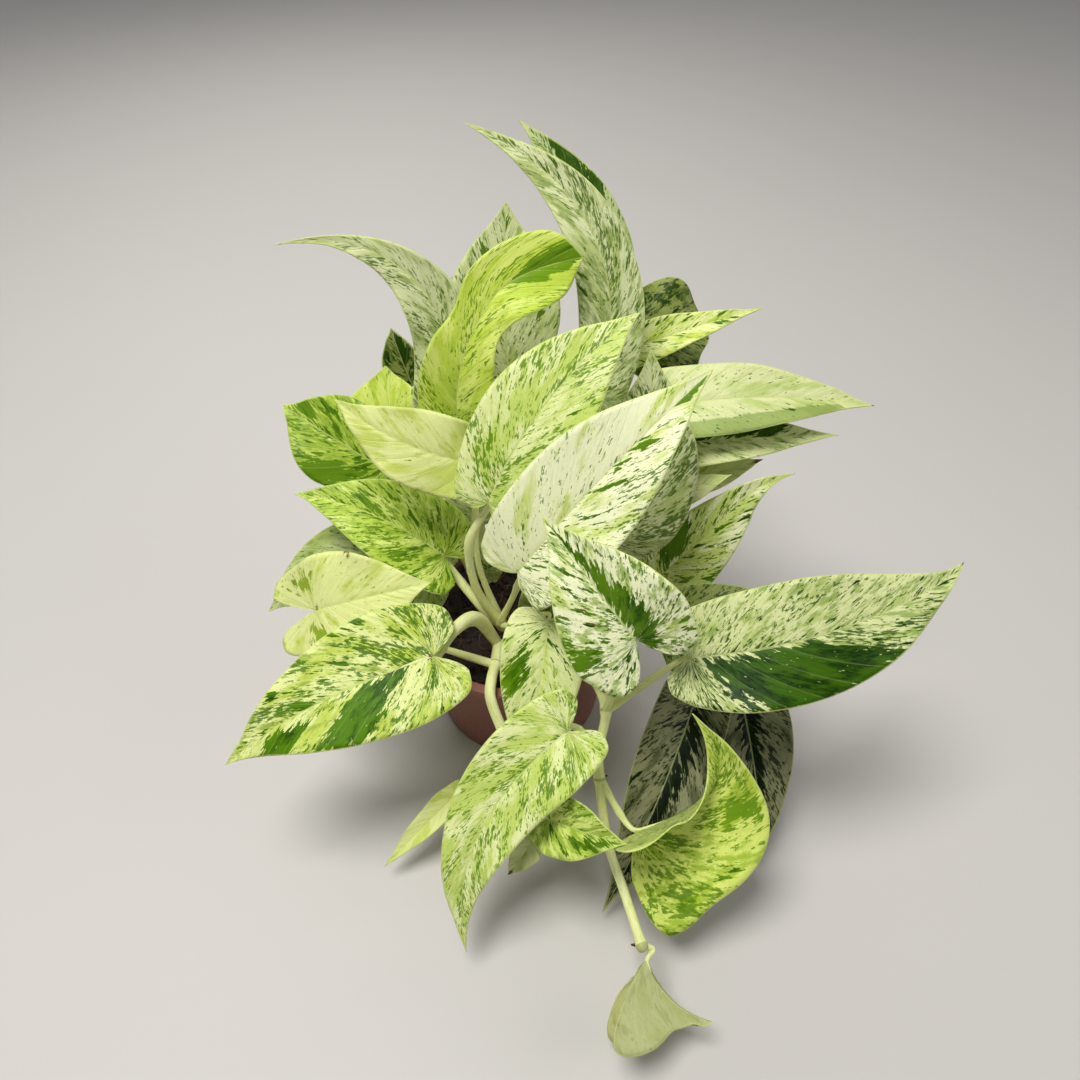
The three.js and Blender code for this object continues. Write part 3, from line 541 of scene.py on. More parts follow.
    ("right_pale_tip", (72, 12, 144), (103, 8, 164), (0, 50), 16, "right", 3, "cream", 0.16, 0.062, 0.6,
     dict(arch=1, fold=10)),
    ("right_blush_tip", (87, 24, 146), (120, 20, 163), (0, 50), 18, "right", 3, "cream", 0.16, 0.062, 0.6,
     dict(arch=1, fold=10, scars=[(0.95, 0.0, 4.0)])),
]
leafRows = [{**dict(zip(leafColumns, row)), **row[-1]} for row in leafTable]
for leaf in leafRows:
    leaf["name"] = "leaf_" + leaf["name"]
    leaf["vine"] = "vine_" + leaf["vine"]

# Every vine: its radius, the points that it passes and which of its nodes has the dark ring
vineRows = [
    dict(name="vine_centre", radius=2.8, path=[(-6, -8, 48), (-6, -9, 66), (-8, -11, 73), (-9, -13, 79)]),
    dict(name="vine_front", radius=2.8, darkRing=0,
         path=[(-10, -18, 48), (-10, -22, 71), (-11, -38, 75), (-12, -52, 82), (-12, -63, 83), (-6, -75, 72),
               (0, -84, 60), (4, -90, 50), (10, -96, 44)]),
    dict(name="vine_front_right", radius=2.4,
         path=[(22, -20, 48), (23, -26, 70), (30, -40, 80), (38, -56, 88), (43, -74, 89), (40, -86, 77),
               (40, -96, 65), (45, -120, 41), (50, -136, 38), (57, -162, 37)]),
    dict(name="vine_left", radius=2.4, path=[(-28, 33, 48), (-29, 34, 70), (-38, 35, 92), (-46, 36, 120)]),
    dict(name="vine_back_left", radius=2.6,
         path=[(-18, 26, 48), (-18, 27, 72), (-20, 32, 100), (-22, 34, 128), (-22, 30, 150)]),
    dict(name="vine_back_right", radius=2.6,
         path=[(16, 28, 48), (17, 29, 72), (22, 34, 100), (28, 38, 128), (34, 40, 152)]),
    dict(name="vine_right", radius=2.6, path=[(34, 2, 48), (36, 2, 72), (42, 2, 92), (48, 6, 118)]),
]


def makePiece(node, bm, materials, name=None):
    words = node.split("_")
    name = name or words[0] + "".join(word.capitalize() for word in words[1:])
    mesh = bpy.data.meshes.new(name)
    for face in bm.faces:
        face.smooth = True
    bm.to_mesh(mesh)
    bm.free()
    piece = addObject(name, mesh)
    for material in materials:
        mesh.materials.append(material)
    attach(piece, "root")
    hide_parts(node)
    return piece


def sizeAndMake(node, bm, material, name=None, outward=True):
    if outward:
        bmesh.ops.recalc_face_normals(bm, faces=bm.faces)
    bmesh.ops.scale(bm, vec=(mm, mm, mm), verts=bm.verts)
    makePiece(node, bm, [material], name)


def throughPoint(p0, p1, p2, p3, t):
    d0, d1, d2 = [max((b - a).length, 1e-6) ** 0.5 for a, b in ((p0, p1), (p1, p2), (p2, p3))]
    t1 = ((p1 - p0) / d0 - (p2 - p0) / (d0 + d1) + (p2 - p1) / d1) * d1
    t2 = ((p2 - p1) / d1 - (p3 - p1) / (d1 + d2) + (p3 - p2) / d2) * d1
    return p1 + t1 * t + (3 * (p2 - p1) - 2 * t1 - t2) * t ** 2 + (2 * (p1 - p2) + t1 + t2) * t ** 3


def smoothPath(points, perSpan):
    points = [Vector(p) for p in points]
    ends = [2 * points[0] - points[1], *points, 2 * points[-1] - points[-2]]
    spans = range(len(points) - 1)
    return [throughPoint(*ends[i:i + 4], k / perSpan) for i in spans for k in range(perSpan)] + [points[-1]]


def arcLengths(path):
    gone = [0.0]
    for a, b in zip(path, path[1:]):
        gone.append(gone[-1] + (b - a).length)
    return gone


def rowAt(form, place):
    rows = bladeForms[form]
    step = min(int(place * (len(rows) - 1)), len(rows) - 2)
    t = place * (len(rows) - 1) - step
    near = [rows[min(max(i, 0), len(rows) - 1)] for i in range(step - 1, step + 3)]
    return [0.5 * (2 * b + (c - a) * t + (2 * a - 5 * b + 4 * c - d) * t ** 2
                   + (3 * b - a - 3 * c + d) * t ** 3) for a, b, c, d in zip(*near)]


def bell(gap, width):
    return math.exp(-(gap / width) ** 2)


def lateCurl(t, start):
    return max((t - start) / (1 - start), 0) ** 2


def bladeFrame(leaf):
    start = Vector(leaf["base"])
    chord = Vector(leaf["tip"]) - start
    ahead = chord.normalized()
    azimuth, elevation = [math.radians(angle) for angle in leaf["faces"]]
    looks = Vector((math.sin(azimuth) * math.cos(elevation), -math.cos(azimuth) * math.cos(elevation),
                    math.sin(elevation)))
    up = (looks - ahead * looks.dot(ahead)).normalized()
    side = ahead.cross(up)
    hook, nib = leaf.get("hook", (0, 0)), leaf.get("nib", 0)

    def midrib(t):
        bow = 4 * t * (1 - t)
        curl = lateCurl(t, bladeSet["hookStart"])
        rise = leaf.get("arch", 0) * bow + hook[0] * curl
        drift = leaf.get("sweep", 0) * bow + hook[1] * curl + nib * lateCurl(t, bladeSet["nibStart"])
        return start + chord * t + up * rise + side * drift

    def frameAt(share):
        t = max(share, 0)
        near = min(t, 1 - bladeSet["ribStep"])
        along = (midrib(near + bladeSet["ribStep"]) - midrib(near)).normalized()
        across = along.cross(up).normalized()
        spot = midrib(t) + along * (min(share, 0) * chord.length)
        return spot, along, across, across.cross(along).normalized()

    return frameAt, chord.length


# Veins leave the midrib steeply at the base and shallow towards the tip, and fan out into the lobes.
# Returns mm along the midrib to where the vein leaves it, mm across the veins and mm along this vein.
def veinAt(flat, gone, length, half):
    wide, narrow = [math.radians(angle) for angle in bladeSet["veinAngles"]]
    settled = bladeSet["veinSettle"] * length
    gone -= bladeSet["veinBend"] * flat ** 2 / half
    opened = math.atan2(flat, gone) if flat or gone else 0.0
    if opened > wide:
        start = (wide - opened) * bladeSet["fanShare"] * length
        return start, start, math.hypot(flat, gone)
    steepness, ease = 1 / math.tan(wide), 1 / math.tan(narrow) - 1 / math.tan(wide)
    start = (gone - flat * steepness) / (1 + flat * ease / settled)
    if start > settled:
        start = gone - flat / math.tan(narrow)
    near = min(start, settled)
    narrowing = (math.sin(narrow) - math.sin(wide)) * near / settled / 2
    across = near * (math.sin(wide) + narrowing) + (start - near) * math.sin(narrow)
    return start, across, math.hypot(flat, gone - start)


# How many mm a spot lies inside the deepest of these sectors
def insideMost(sectors, vein, reach, length, half):
    depths = [min((vein - v0) * length, (v1 - vein) * length, (reach - u0) * half, (u1 - reach) * half)
              for v0, v1, u0, u1 in sectors]
    return max(depths, default=bladeSet["unmarked"])


def makeBlade(leaf, order, marbling):
    frameAt, length = bladeFrame(leaf)
    half = leaf["width"] / 2
    fold = math.radians(leaf.get("fold", 0))
    wave, lobe, full = leaf.get("wave", 0), leaf.get("lobe", 1), leaf.get("full", 0)
    bm = bmesh.new()
    bmesh.ops.create_grid(bm, x_segments=bladeSet["columns"], y_segments=bladeSet["rows"], size=1)
    layers = bm.verts.layers
    veinFlow, bladePlace, markFields = [layers.float_vector.new(name)
                                        for name in ("veinFlow", "bladePlace", "markFields")]
    ridge = layers.deform.verify()
    for vert in bm.verts:
        # Where the vertex lies in the flat outline
        u = math.copysign(abs(vert.co.x) ** bladeSet["gather"], vert.co.x)
        place = (vert.co.y + 1) / 2
        rib, wide, along, lean = rowAt(leaf.get("form", "plain"), place)
        reach = abs(u)
        far = along * lobe if along < 0 else along
        bend = rib + (far - rib) * lean
        share = (1 - reach) ** 2 * rib + 2 * reach * (1 - reach) * bend + reach ** 2 * far
        ruffle = math.cos(math.tau * (place - bladeSet["ruffleStart"]) / bladeSet["ruffleStep"])
        rowHalf = half * max(wide, 0) * (1 + full * (along - bladeSet["fullFrom"]))
        rowHalf *= 1 + leaf.get("ruffle", 0) * ruffle
        offset = u * rowHalf
        flat = abs(offset)
        left = 0 if offset > 0 else 1
        start, acrossVeins, alongVein = veinAt(flat, share * length, length, half)
        vein = start / length

        # How far it stands off that outline
        phase = bladeSet["waveCount"] * math.tau * share + left * bladeSet["waveShift"]
        rise = flat * math.sin(fold) + wave * (flat / half) ** 2 * math.sin(phase)
        taper = min(rowHalf / bladeSet["narrowHalf"], 1)
        gutter = bell(offset, bladeSet["grooveWidth"]) * (1 - bladeSet["grooveFade"] * share)
        rise -= bladeSet["groove"] * gutter * taper
        swell = abs(math.sin(math.pi * (bladeSet["veins"] * vein + (1 - left) * bladeSet["veinStagger"])))
        swellReach = math.sin(math.pi * min(reach + bladeSet["quiltStart"], 1)) ** 0.5
        rise += bladeSet["quilt"] * (swell - bladeSet["quiltMiddle"]) * taper * swellReach
        turn = math.tau * bladeSet["ripples"] * place + order * bladeSet["rippleTurn"]
        rise += bladeSet["ripple"] * reach ** 4 * taper * math.sin(turn + left * bladeSet["rippleShift"])
        spot, _, across, out = frameAt(share)
        vert.co = (spot + across * (offset * math.cos(fold)) + out * rise) * mm

        # What the marbling and the thickness read
        shift = order * bladeSet["leafShift"] + (0 if offset >= 0 else bladeSet["sideShift"])
        vert[veinFlow] = (acrossVeins, alongVein, shift)
        vert[bladePlace] = (offset, (1 - reach) * rowHalf, share)
        scars = [radius - math.hypot((vein - v) * length, (u - r) * rowHalf)
                 for v, r, radius in leaf.get("scars", ())]
        patch, band = [insideMost(leaf.get(key, ()), vein, u, length, half) for key in ("patches", "bands")]
        vert[markFields] = (patch, max(scars, default=bladeSet["unscarred"]), band)
        ribShare = bell(offset, bladeSet["ribWidth"]) * (1 - bladeSet["ribFade"] * share)
        vert[ridge][0] = max(bladeSet["thinShare"], ribShare)
    bmesh.ops.remove_doubles(bm, verts=bm.verts, dist=bladeSet["weld"] * mm)
    materials = [makeLeafMaterial(leaf, marbling, under) for under in (False, True)]
    piece = makePiece(leaf["name"], bm, materials)
    piece.vertex_groups.new(name="ridge")
    shell = piece.modifiers.new("bladeThickness", "SOLIDIFY")
    shell.thickness = bladeSet["thick"] * mm
    shell.offset = bladeSet["sink"]
    shell.vertex_group = "ridge"
    shell.thickness_vertex_group = 0.0
    shell.material_offset = 1
    shell.use_quality_normals = True


# Stems and petioles. base is how far a petiole's foot swells over its share of the way, knee the
# swelling under the blade, and the ribs are the points under the midrib where it runs out.

stemSet = {
    "sides": 18, "perSpan": 10, "petioleSides": 14, "petioleSpan": 9, "petiole": 1.5, "drop": 0.7,
    "behind": 4, "before": 3, "lean": 0.6, "ribShares": (0.06, 0.13), "ribDrops": (0.95, 0.7),
    "base": 0.3, "baseShare": 0.16, "flatten": 0.25, "flattenShare": 0.3, "kneeSwell": 0.28,
    "kneeShare": 0.06, "kneeBack": 2.4, "tipRadius": 0.3, "sheathSkew": 1.7, "nodeSwell": 0.3,
    "nodeReach": 2.6, "thinning": 0.1, "capAngles": (12, 35, 62), "farGap": 40.0, "seedStep": 40,
    "petioleSeed": 0.13, "nub": 1.1, "nubTurn": 2.4, "nubDrop": -0.35, "nubReach": (0.6, 1.3, 1.9),
    "nubThinning": 0.55, "nubSides": 8, "ringStrength": 0.45,
}
stemLook = {
    "tints": ("#f4f4b8", "#e4ea94", "#c6d268"), "ringTint": "#4f3d20", "alongShare": 0.12,
    "grain": (0.35, 1.9), "mottle": 0.75, "streakRange": (0.72, 0.95), "streakCover": 0.45,
    "ringBreak": 0.4, "ringRange": (0.5, 1.2), "roughRange": (0.15, 0.38), "gloss": 0.2,
    "subsurface": 0.15, "glow": (1.0, 1.0, 0.4), "glowDepth": 0.002, "skin": 0.0002,
}


def grow(bm, ring):
    made = bmesh.ops.extrude_edge_only(bm, edges=ring)["geom"]
    kinds = (bmesh.types.BMVert, bmesh.types.BMEdge)
    return [[item for item in made if isinstance(item, kind)] for kind in kinds]


def newStemMesh():
    bm = bmesh.new()
    for name in ("stemFlow", "nodeGap"):
        bm.verts.layers.float_vector.new(name)
    return bm


# gapAt gives the values that the stem's material reads: mm to the nearest node, how dark its ring is
# and the share of the way
def sweep(bm, path, radiusAt, sides, seed, gapAt=None, flatAt=None):
    flowLayer = bm.verts.layers.float_vector["stemFlow"]
    gapLayer = bm.verts.layers.float_vector["nodeGap"]
    gone = arcLengths(path)
    total = gone[-1]
    first, last = radiusAt(0), radiusAt(1)
    ahead = (path[1] - path[0]).normalized()
    behind = (path[-1] - path[-2]).normalized()
    caps = [math.radians(angle) for angle in stemSet["capAngles"]]
    stops = [(path[0] - ahead * first * math.cos(a), 0.0, first * math.sin(a), ahead) for a in caps]
    for i, spot in enumerate(path):
        tangent = (path[min(i + 1, len(path) - 1)] - path[max(i - 1, 0)]).normalized()
        stops.append((spot, gone[i], radiusAt(gone[i] / total), tangent))
    for a in reversed(caps):
        stops.append((path[-1] + behind * last * math.cos(a), total, last * math.sin(a), behind))
    normal = ahead.orthogonal().normalized()
    ring = before = None
    for centre, arc, radius, tangent in stops:
        normal = (normal - tangent * normal.dot(tangent)).normalized()
        wide = radius * (flatAt(arc / total) if flatAt else 1.0)
        place = Matrix((normal * wide, tangent.cross(normal) * radius, tangent)).transposed().to_4x4()
        place.translation = centre
        if ring is None:
            made = bmesh.ops.create_circle(bm, cap_ends=False, segments=sides, radius=1, matrix=place)
            verts = firstRing = list(made["verts"])
            ring = list({edge for vert in verts for edge in vert.link_edges})
        else:
            verts, ring = grow(bm, ring)
            bmesh.ops.transform(bm, matrix=place @ before.inverted(), verts=verts)
        before = place
        for vert in verts:
            around = place.inverted() @ vert.co
            vert[flowLayer] = (around.x * radius, around.y * radius, arc + seed * stemSet["seedStep"])
            vert[gapLayer] = gapAt(arc) if gapAt else (stemSet["farGap"], 0.0, arc / total)
    bmesh.ops.pointmerge(bm, verts=verts, merge_co=path[-1] + behind * last)
    bmesh.ops.pointmerge(bm, verts=firstRing, merge_co=path[0] - ahead * first)


def addPetiole(bm, leaf, vine, seed):
    frameAt, _ = bladeFrame(leaf)
    spot, along, _, out = frameAt(0)
    radius = leaf.get("petiole", stemSet["petiole"])
    winged = leaf.get("sheathed", 0)
    end = spot - out * (stemSet["drop"] + radius * stemSet["lean"])
    bend = end - out * stemSet["behind"] - along * stemSet["before"]
    under = [frameAt(share) for share in stemSet["ribShares"]]
    rib = [place - side * drop for (place, _, _, side), drop in zip(under, stemSet["ribDrops"])]
    via = [Vector(point) for point in leaf.get("via", ())]
    path = smoothPath([vine["path"][leaf["joint"]], *via, bend, end, *rib], stemSet["petioleSpan"])
    spans = len(via) + 4
    kneeAt = (spans - stemSet["kneeBack"]) / spans

    def radiusAt(t):
        base = 0 if winged else stemSet["base"] * bell(t, stemSet["baseShare"])
        knee = stemSet["kneeSwell"] * bell(t - kneeAt, stemSet["kneeShare"])
        fade = min(1, stemSet["tipRadius"] + (1 - stemSet["tipRadius"]) * max((1 - t) / (2 / spans), 0))
        middle = math.sin(math.pi * min(t / kneeAt, 1) ** stemSet["sheathSkew"])
        return radius * (1 + base + knee + winged * middle) * fade

    sweep(bm, path, radiusAt, stemSet["petioleSides"], seed,
          flatAt=lambda t: 1 + stemSet["flatten"] * bell(t, stemSet["flattenShare"]))


def makeVine(vine, order, material):
    bm = newStemMesh()
    path = smoothPath(vine["path"], stemSet["perSpan"])
    leaves = [leaf for leaf in leafRows if leaf["vine"] == vine["name"]]
    gone = arcLengths(path)
    joints = sorted({leaf["joint"] for leaf in leaves})
    nodes = [gone[joint * stemSet["perSpan"]] for joint in joints]

    def nodeGap(arc):
        gap, nearest = min((abs(arc - node), i) for i, node in enumerate(nodes))
        darkest = vine.get("darkRing") == nearest
        return gap, 1.0 if darkest else stemSet["ringStrength"], arc / gone[-1]

    def radiusAt(t):
        arc = t * gone[-1]
        swell = sum(bell(arc - node, stemSet["nodeReach"]) for node in nodes)
        return vine["radius"] * (1 + stemSet["nodeSwell"] * min(swell, 1) - stemSet["thinning"] * t)

    sweep(bm, path, radiusAt, stemSet["sides"], order, nodeGap)
    for index, leaf in enumerate(leaves):
        addPetiole(bm, leaf, vine, order + stemSet["petioleSeed"] * index)
    for index, joint in enumerate(joints):
        spot = path[joint * stemSet["perSpan"]]
        angle = index * stemSet["nubTurn"] + order
        side = Vector((math.cos(angle), math.sin(angle), stemSet["nubDrop"])).normalized()
        root = [spot + side * (vine["radius"] * s) for s in stemSet["nubReach"]]
        sweep(bm, root, lambda t: stemSet["nub"] * (1 - stemSet["nubThinning"] * t), stemSet["nubSides"],
              order, lambda arc: (0.2, 1.0, 0.5))
    sizeAndMake(vine["name"], bm, material)


def makeStemMaterial(grain):
    material, tree, shader = newMaterial("paleStem")
    flow = stretch(tree, readAttribute(tree, "stemFlow"), (1, 1, stemLook["alongShare"]))
    marks = addGrain(tree, grain, flow, *stemLook["grain"])
    gap, strength, _ = splitVector(tree, readAttribute(tree, "nodeGap"))
    pale, green, dark = [tint(code) for code in stemLook["tints"]]
    color = mixColor(tree, times(tree, marks["Broad"], stemLook["mottle"]), pale, green)
    streaks = ramp(tree, marks["Fine"], *stemLook["streakRange"])
    color = mixColor(tree, times(tree, streaks, stemLook["streakCover"]), color, dark)
    wobble = timesPlus(tree, marks["Fine"], stemLook["ringBreak"], gap)
    ring = flip(tree, ramp(tree, wobble, *stemLook["ringRange"]))
    color = mixColor(tree, times(tree, ring, strength), color, tint(stemLook["ringTint"]))
    rough = timesPlus(tree, marks["Fine"], *stemLook["roughRange"])
    dress(tree, shader, color, rough, marks["Height"], stemLook["skin"])
    setGlow(shader, stemLook)
    return material


# Pot. The profile runs from the middle of the underside round the foot, wall, rim and inside.

potSet = {
    "height": 78, "rimRadius": 60, "baseRadius": 46, "wall": 1.6, "floor": 2.2, "rimWidth": 4.5, "rimDepth": 7,
    "holes": 6, "holeRadius": 3.5, "holeRing": 29, "holeSides": 40, "cutDepth": 12, "steps": 128, "edge": 0.7,
    "edgeSteps": 3, "cornerAngle": 28, "creaseAngle": 40, "footWidth": 5, "footRecess": 0.8, "footTop": 4,
    "weld": 0.01,
}
potLook = {
    "brown": "#7d483a", "pale": "#955f4e", "dark": "#5f352a", "dust": "#b59a86", "grain": (28.0, 1500.0),
    "scuffScale": (260, 260, 900), "scuffGrain": (3.0, 0.7), "darkCover": 0.3, "dustHeight": 0.022,
    "dustRange": (0.5, 0.72), "dustCover": (0.5, 0.16), "roughRange": (0.16, 0.46), "skin": 0.00012,
}


def outerRadius(z):
    under = potSet["rimRadius"] - potSet["rimWidth"]
    return potSet["baseRadius"] + (under - potSet["baseRadius"]) * z / potSet["height"]


def innerRadius(z):
    return outerRadius(z) - potSet["wall"]


def boreHoles(pot):
    cutter = bmesh.new()
    for i in range(potSet["holes"]):
        angle = i / potSet["holes"] * math.tau
        spot = Vector((math.cos(angle), math.sin(angle), 0)) * potSet["holeRing"] * mm
        radius = potSet["holeRadius"] * mm
        bmesh.ops.create_cone(cutter, cap_ends=True, segments=potSet["holeSides"], radius1=radius,
                              radius2=radius, depth=potSet["cutDepth"] * mm, matrix=Matrix.Translation(spot))
    cutMesh = bpy.data.meshes.new("drainCut")
    cutter.to_mesh(cutMesh)
    cutter.free()
    cut = pot.modifiers.new("drainHoles", "BOOLEAN")
    cut.object = addObject("drainCut", cutMesh)
    cut.operation = "DIFFERENCE"
    cut.solver = "EXACT"
    bpy.context.view_layer.update()
    bored = bpy.data.meshes.new_from_object(pot.evaluated_get(bpy.context.evaluated_depsgraph_get()))
    bpy.data.objects.remove(cut.object)
    pot.modifiers.clear()
    pot.data = bored
    return bored


def makePot(material):
    top, foot = potSet["height"], potSet["baseRadius"] - potSet["footWidth"]
    under, recess, floor = top - potSet["rimDepth"], potSet["footRecess"], potSet["floor"]
    rim, footTop = potSet["rimRadius"], potSet["footTop"]
    profile = [
        (0, recess), (foot - 1, recess), (foot, 0), (potSet["baseRadius"], 0), (outerRadius(footTop), footTop),
        (outerRadius(footTop + 0.6), footTop + 0.6), (outerRadius(under), under), (rim - 0.4, under),
        (rim, top - 2.2), (rim - 0.6, top), (innerRadius(top) + 0.6, top), (innerRadius(top), top - 1.4),
        (innerRadius(under + 1), under + 1), (innerRadius(under) - 0.5, under), (innerRadius(floor), floor),
        (0, floor),
    ]
    bm = bmesh.new()
    verts = [bm.verts.new((r * mm, 0, z * mm)) for r, z in profile]
    edges = [bm.edges.new(pair) for pair in zip(verts, verts[1:])]
    bmesh.ops.spin(bm, geom=verts + edges, cent=(0, 0, 0), axis=(0, 0, 1), angle=math.tau,
                   steps=potSet["steps"], use_merge=True)
    bmesh.ops.remove_doubles(bm, verts=bm.verts, dist=potSet["weld"] * mm)
    bmesh.ops.recalc_face_normals(bm, faces=bm.faces)
    corners = [edge for edge in bm.edges if edge.calc_face_angle(0) > math.radians(potSet["cornerAngle"])]
    bmesh.ops.bevel(bm, geom=corners, offset=potSet["edge"] * mm, segments=potSet["edgeSteps"], profile=0.5,
                    affect="EDGES", material=-1, clamp_overlap=True)
    bored = boreHoles(makePiece("pot", bm, [material]))
    bm = bmesh.new()
    bm.from_mesh(bored)
    for edge in bm.edges:
        edge.smooth = edge.calc_face_angle(0) < math.radians(potSet["creaseAngle"])
    bm.to_mesh(bored)
    bm.free()


def makePotMaterial(grain):
    material, tree, shader = newMaterial("matteBrownPlastic")
    place = newNode(tree, "ShaderNodeTexCoord").outputs["Object"]
    marks = addGrain(tree, grain, place, *potLook["grain"])
    scuffs = speckle(tree, stretch(tree, place, potLook["scuffScale"]), *potLook["scuffGrain"]).outputs[0]
    color = mixColor(tree, marks["Broad"], tint(potLook["brown"]), tint(potLook["pale"]))
    color = mixColor(tree, times(tree, marks["Fine"], potLook["darkCover"]), color, tint(potLook["dark"]))
    low = flip(tree, ramp(tree, splitVector(tree, place)[2], 0.0, potLook["dustHeight"]))
    dust = times(tree, ramp(tree, scuffs, *potLook["dustRange"]), timesPlus(tree, low, *potLook["dustCover"]))
    color = mixColor(tree, dust, color, tint(potLook["dust"]))
    rough = timesPlus(tree, marks["Broad"], *potLook["roughRange"])
    dress(tree, shader, color, rough, marks["Height"], potLook["skin"])
    return material


# Soil. Each wave is its height, its turns round the pot and its twist from the middle to the edge.

soilSet = {
    "top": 66, "clear": 0.3, "waves": ((2.6, 3, 4), (2, 5, -6)), "sides": 120, "rings": 46, "rough": 1.5,
    "lumpSize": 5, "lumpSeed": 3.7, "lumpNoise": (0.9, 2.1, 4), "edgeRough": 0.25, "edgeFade": 9,
    "shoulder": 4, "crumbs": 1300, "crumbSize": (0.5, 2.1), "crumbMargin": 1.6, "crumbGap": 0.4,
    "crumbRise": 0.25, "crumbDent": 0.16, "crumbWide": (0.55, 0.95), "crumbTall": (0.45, 0.85), "seed": 11,
    "fibres": 170, "fibreSize": (0.14, 0.34), "fibreMargin": (3, 8), "fibrePoints": 7, "fibreRise": (0.1, 1.1),
    "fibreTurn": 0.6, "fibreStep": (0.9, 2.6), "fibreThinning": 0.5, "fibreSides": 5, "fibreSeed": 0.37,
}
soilLook = {
    "bedTints": ("#120c0a", "#26180f", "#4d2e1d"), "bedGrain": (120.0, 1500.0), "bedSkin": 0.0008,
    "fibreTints": ("#553421", "#74502f", "#120c0a"), "fibreGrain": (160.0, 2500.0), "fibreSkin": 0.0001,
    "speckRange": (0.8, 1.0), "speckCover": 0.45, "roughRange": (-0.12, 0.96),
}


def soilHeight(x, y):
    share = min(math.hypot(x, y) / (innerRadius(soilSet["top"]) - soilSet["clear"]), 1)
    angle = math.atan2(y, x)
    waves = sum(h * math.sin(turns * angle + shift * share) for h, turns, shift in soilSet["waves"])
    spot = Vector((x / soilSet["lumpSize"], y / soilSet["lumpSize"], soilSet["lumpSeed"]))
    fade = min((1 - share) * soilSet["edgeFade"], 1)
    rough = soilSet["rough"] * (soilSet["edgeRough"] + (1 - soilSet["edgeRough"]) * fade)
    return soilSet["top"] + waves * share * (1 - share) + rough * noise.fractal(spot, *soilSet["lumpNoise"])


def makeSoilBed(material):
    edge = innerRadius(soilSet["top"]) - soilSet["clear"]
    bm = bmesh.new()
    inner = bmesh.ops.create_circle(bm, cap_ends=False, segments=soilSet["sides"],
                                    radius=edge / soilSet["rings"])["verts"]
    centre = bm.verts.new((0, 0, 0))
    for a, b in zip(inner, inner[1:] + inner[:1]):
        bm.faces.new((centre, a, b))
    ring = [edge for edge in bm.edges if len(edge.link_faces) == 1]
    for i in range(1, soilSet["rings"]):
        verts, ring = grow(bm, ring)
        bmesh.ops.scale(bm, vec=((i + 1) / i, (i + 1) / i, 1), verts=verts)
    for vert in bm.verts:
        vert.co.z = soilHeight(vert.co.x, vert.co.y)
    for z in (soilSet["top"] - soilSet["shoulder"], potSet["floor"] + soilSet["clear"]):
        verts, ring = grow(bm, ring)
        for vert in verts:
            turned = Vector((vert.co.x, vert.co.y)).normalized() * (innerRadius(z) - soilSet["clear"])
            vert.co = (turned.x, turned.y, z)
    bmesh.ops.contextual_create(bm, geom=ring)
    sizeAndMake("soil", bm, material, "soilBed")


def makeCrumbs(material):
    draw = random.Random(soilSet["seed"])
    bm = bmesh.new()
    widest = innerRadius(soilSet["top"]) - soilSet["crumbMargin"]
    small, large = soilSet["crumbSize"]
    for _ in range(soilSet["crumbs"]):
        radius = widest * math.sqrt(draw.random())
        angle = draw.uniform(0, math.tau)
        x, y = radius * math.cos(angle), radius * math.sin(angle)
        size = small + (large - small) * draw.random() ** 3
        size = min(size, innerRadius(soilSet["top"]) - radius - soilSet["crumbGap"])
        turned = draw.uniform(0, math.tau)
        turn = Matrix.Rotation(turned, 4, (draw.random(), draw.random(), draw.random() + 0.1))
        wide, tall = [draw.uniform(*soilSet[key]) for key in ("crumbWide", "crumbTall")]
        shape = Matrix.Diagonal((1, wide, tall, 1))
        place = Matrix.Translation((x, y, soilHeight(x, y) + size * soilSet["crumbRise"]))
        made = bmesh.ops.create_icosphere(bm, subdivisions=1, radius=size, matrix=place @ turn @ shape)
        for vert in made["verts"]:
            vert.co += Vector([draw.uniform(-1, 1) for _ in range(3)]) * size * soilSet["crumbDent"]
    sizeAndMake("soil", bm, material, "soilCrumbs", outward=False)


def makeFibres(material):
    draw = random.Random(soilSet["seed"] + 1)
    bm = newStemMesh()
    margin, inset = soilSet["fibreMargin"]
    widest = innerRadius(soilSet["top"]) - margin
    for index in range(soilSet["fibres"]):
        radius = (widest - inset) * math.sqrt(draw.random())
        angle = draw.uniform(0, math.tau)
        heading = draw.uniform(0, math.tau)
        x, y = radius * math.cos(angle), radius * math.sin(angle)
        path = []
        for _ in range(soilSet["fibrePoints"]):
            reach = min(1, widest / max(math.hypot(x, y), 1))
            x, y = x * reach, y * reach
            path.append(Vector((x, y, soilHeight(x, y) + draw.uniform(*soilSet["fibreRise"]))))
            heading += draw.uniform(-soilSet["fibreTurn"], soilSet["fibreTurn"])
            step = draw.uniform(*soilSet["fibreStep"])
            x, y = x + step * math.cos(heading), y + step * math.sin(heading)
        thick = draw.uniform(*soilSet["fibreSize"])
        sweep(bm, path, lambda t: thick * (1 - soilSet["fibreThinning"] * t), soilSet["fibreSides"],
              index * soilSet["fibreSeed"])
    sizeAndMake("soil", bm, material, "soilFibres")


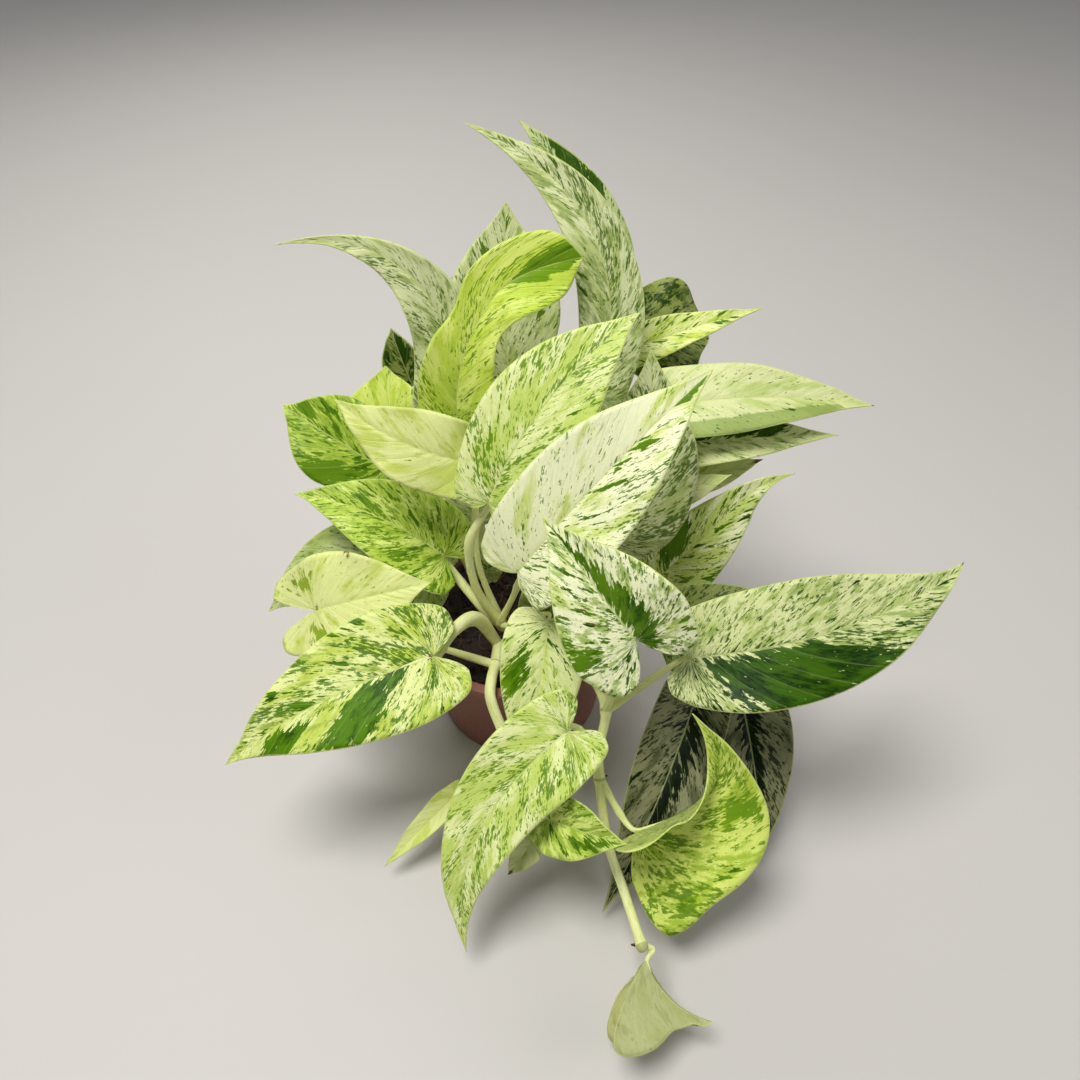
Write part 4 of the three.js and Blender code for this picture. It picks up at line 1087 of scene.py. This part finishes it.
def makeSoilMaterial(grain, name, kind):
    material, tree, shader = newMaterial(name)
    place = newNode(tree, "ShaderNodeTexCoord").outputs["Object"]
    marks = addGrain(tree, grain, place, *soilLook[kind + "Grain"])
    dark, brown, speck = [tint(code) for code in soilLook[kind + "Tints"]]
    specks = times(tree, ramp(tree, marks["Fine"], *soilLook["speckRange"]), soilLook["speckCover"])
    color = mixColor(tree, specks, mixColor(tree, marks["Broad"], dark, brown), speck)
    rough = timesPlus(tree, marks["Fine"], *soilLook["roughRange"])
    dress(tree, shader, color, rough, marks["Height"], soilLook[kind + "Skin"])
    return material


def makeFloor(grain):
    bm = bmesh.new()
    bmesh.ops.create_grid(bm, x_segments=1, y_segments=1, size=viewSet["floorSize"] / 2)
    bmesh.ops.translate(bm, vec=(0, 0, -viewSet["floorDrop"]), verts=bm.verts)
    mesh = bpy.data.meshes.new("paleFloor")
    bm.to_mesh(mesh)
    bm.free()
    floor = addObject("paleFloor", mesh)
    material, tree, shader = newMaterial("paleFloorPaint")
    place = newNode(tree, "ShaderNodeTexCoord").outputs["Object"]
    marks = addGrain(tree, grain, place, *viewSet["floorGrain"])
    pale = tint(viewSet["floorTint"])
    worn = towards(pale, (0, 0, 0, 1), viewSet["floorShade"])
    color = mixColor(tree, times(tree, marks["Broad"], viewSet["floorMottle"]), pale, worn)
    feed(tree, shader.inputs["Base Color"], color)
    shader.inputs["Roughness"].default_value = viewSet["floorRough"]
    mesh.materials.append(material)


makeView()
grain = makeGrain()
makeFloor(grain)
print("view and floor ready")

makePot(makePotMaterial(grain))
print("pot ready")

peat = makeSoilMaterial(grain, "darkPeat", "bed")
makeSoilBed(peat)
makeCrumbs(peat)
makeFibres(makeSoilMaterial(grain, "peatFibre", "fibre"))
print("soil ready")

stem = makeStemMaterial(grain)
for order, vine in enumerate(vineRows):
    makeVine(vine, order, stem)
print("vines ready")

marbling = makeMarbling()
for order, leaf in enumerate(leafRows):
    makeBlade(leaf, order, marbling)
print("leaves ready")

bpy.context.view_layer.update()
